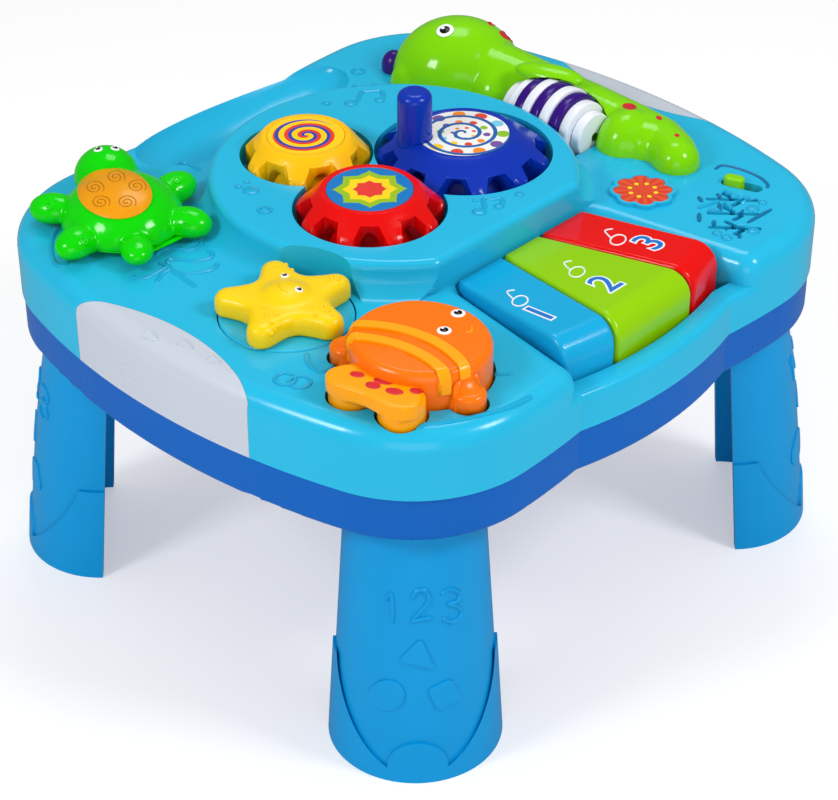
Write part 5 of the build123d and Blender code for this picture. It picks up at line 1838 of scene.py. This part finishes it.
@dataclass
class Studio:
    """A plain white floor under soft boxes and an even white sky."""

    floor_size: float = 6.0
    floor_shade: Colour = (246, 246, 246)
    floor_glow: float = 0.3
    floor_gloss: float = 0.8
    floor_white: float = 1.42
    floor_fade: tuple[float, float] = (0.45, 0.95)
    ambient: float = 0.5
    reflected: float = 0.15
    lamps: tuple[tuple[str, float, float, float, float, float], ...] = (
        ("left_softbox", -100.0, 40.0, 1.0, 0.22, 3.0), ("right_softbox", 15.0, 46.0, 1.0, 0.22, 3.4),
        ("front_softbox", -47.0, 12.0, 1.2, 0.7, 2.4), ("top_softbox", 130.0, 66.0, 1.1, 0.4, 2.2),
    )

    def seen(self, tree: Tree, camera: float, gloss: float, other: float) -> Socket:
        """Say how strong a light is for a ray.

        Args:
            tree: Node tree to add to.
            camera: Strength for rays from the camera.
            gloss: Strength for reflected rays.
            other: Strength for all other rays.

        Returns:
            Socket of the strength.
        """
        path = add_node(tree, "ShaderNodeLightPath", {}).outputs
        shiny = calc(tree, "MULTIPLY_ADD", path["Is Glossy Ray"], gloss - other, other)
        return calc(tree, "MULTIPLY_ADD", path["Is Camera Ray"], camera - other, shiny)

    def sky(self) -> None:
        """Make the world an even light that is seen as white."""
        world = bpy.data.worlds.new("white_sky")
        bpy.context.scene.world = world
        world.use_nodes = True
        tree = world.node_tree
        light = tree.nodes["Background"]
        light.inputs["Color"].default_value = WHITE_LIGHT
        feed(tree, light.inputs["Strength"], self.seen(tree, 1.0, self.reflected, self.ambient))

    def floor(self) -> None:
        """Lay the floor, white where nothing shades it and plain white far from the table."""
        clear_selection()
        bpy.ops.mesh.primitive_plane_add(size=self.floor_size)
        ground = settle(bpy.context.object, "floor")
        coat = bpy.data.materials.new("floor_white")
        coat.use_nodes = True
        tree = coat.node_tree
        tree.nodes.remove(tree.nodes["Principled BSDF"])
        matte = add_node(tree, "ShaderNodeBsdfDiffuse", {"Color": linear(self.floor_shade)})
        shine = self.seen(tree, self.floor_white, self.reflected, 0.0)
        glow = add_node(tree, "ShaderNodeEmission", {"Color": WHITE_LIGHT, "Strength": shine})
        place = add_node(tree, "ShaderNodeTexCoord", {}).outputs["Object"]
        reach = add_node(tree, "ShaderNodeVectorMath", {}, operation="LENGTH")
        feed(tree, reach.inputs[0], place)
        start, end = self.floor_fade
        slope = 1.0 / (end - start)
        away = calc(tree, "MULTIPLY_ADD", reach.outputs["Value"], slope, -start * slope)
        away = calc(tree, "MINIMUM", calc(tree, "MAXIMUM", away, 0.0), 1.0)
        straight = add_node(tree, "ShaderNodeLightPath", {}).outputs["Is Camera Ray"]
        near = self.seen(tree, self.floor_glow, self.floor_gloss, 0.0)
        share = calc(tree, "MAXIMUM", near, calc(tree, "MULTIPLY", away, straight))
        mixed = add_node(tree, "ShaderNodeMixShader", {"Fac": share})
        feed(tree, mixed.inputs[1], matte.outputs[0])
        feed(tree, mixed.inputs[2], glow.outputs[0])
        feed(tree, tree.nodes["Material Output"].inputs["Surface"], mixed.outputs[0])
        ground.data.materials.append(coat)

    def light(self) -> None:
        """Hang the soft boxes round the table, each turned towards it."""
        middle = Vector(VIEW.target)
        for name, azimuth, elevation, distance, size, power in self.lamps:
            side = PhotoView(azimuth=azimuth, elevation=elevation).back()
            clear_selection()
            bpy.ops.object.light_add(type="AREA", location=middle + side * distance)
            lamp = bpy.context.object
            lamp.name = name
            lamp.rotation_euler = side.to_track_quat("Z", "Y").to_euler()
            lamp.data.size = size
            lamp.data.energy = power

    def build(self) -> None:
        """Set the view transform and build the sky, the floor and the lamps."""
        bpy.context.scene.view_settings.view_transform = "Standard"
        self.sky()
        self.floor()
        self.light()


@dataclass
class ActivityTable:
    """The whole table, one sub-assembly after another."""

    parts: list[SubAssembly] = field(
        default_factory=lambda: [
            Housing(),
            Legs(),
            GearTrain(),
            Keyboard(),
            Turtle(),
            Starfish(),
            Fish(),
            Seahorse(),
            PowerAndSound(),
        ]
    )

    def build(self) -> None:
        """Dress the CAD nodes of each sub-assembly, then model its own pieces."""
        for part in self.parts:
            part.dress()
            part.build()
            log.info("%s is done", type(part).__name__)


def main() -> None:
    """Build the camera, the light and the table."""
    logging.basicConfig(level=logging.INFO, format="%(name)s: %(message)s")
    VIEW.place()
    Studio().build()
    ActivityTable().build()


if __name__ == "__main__":
    main()
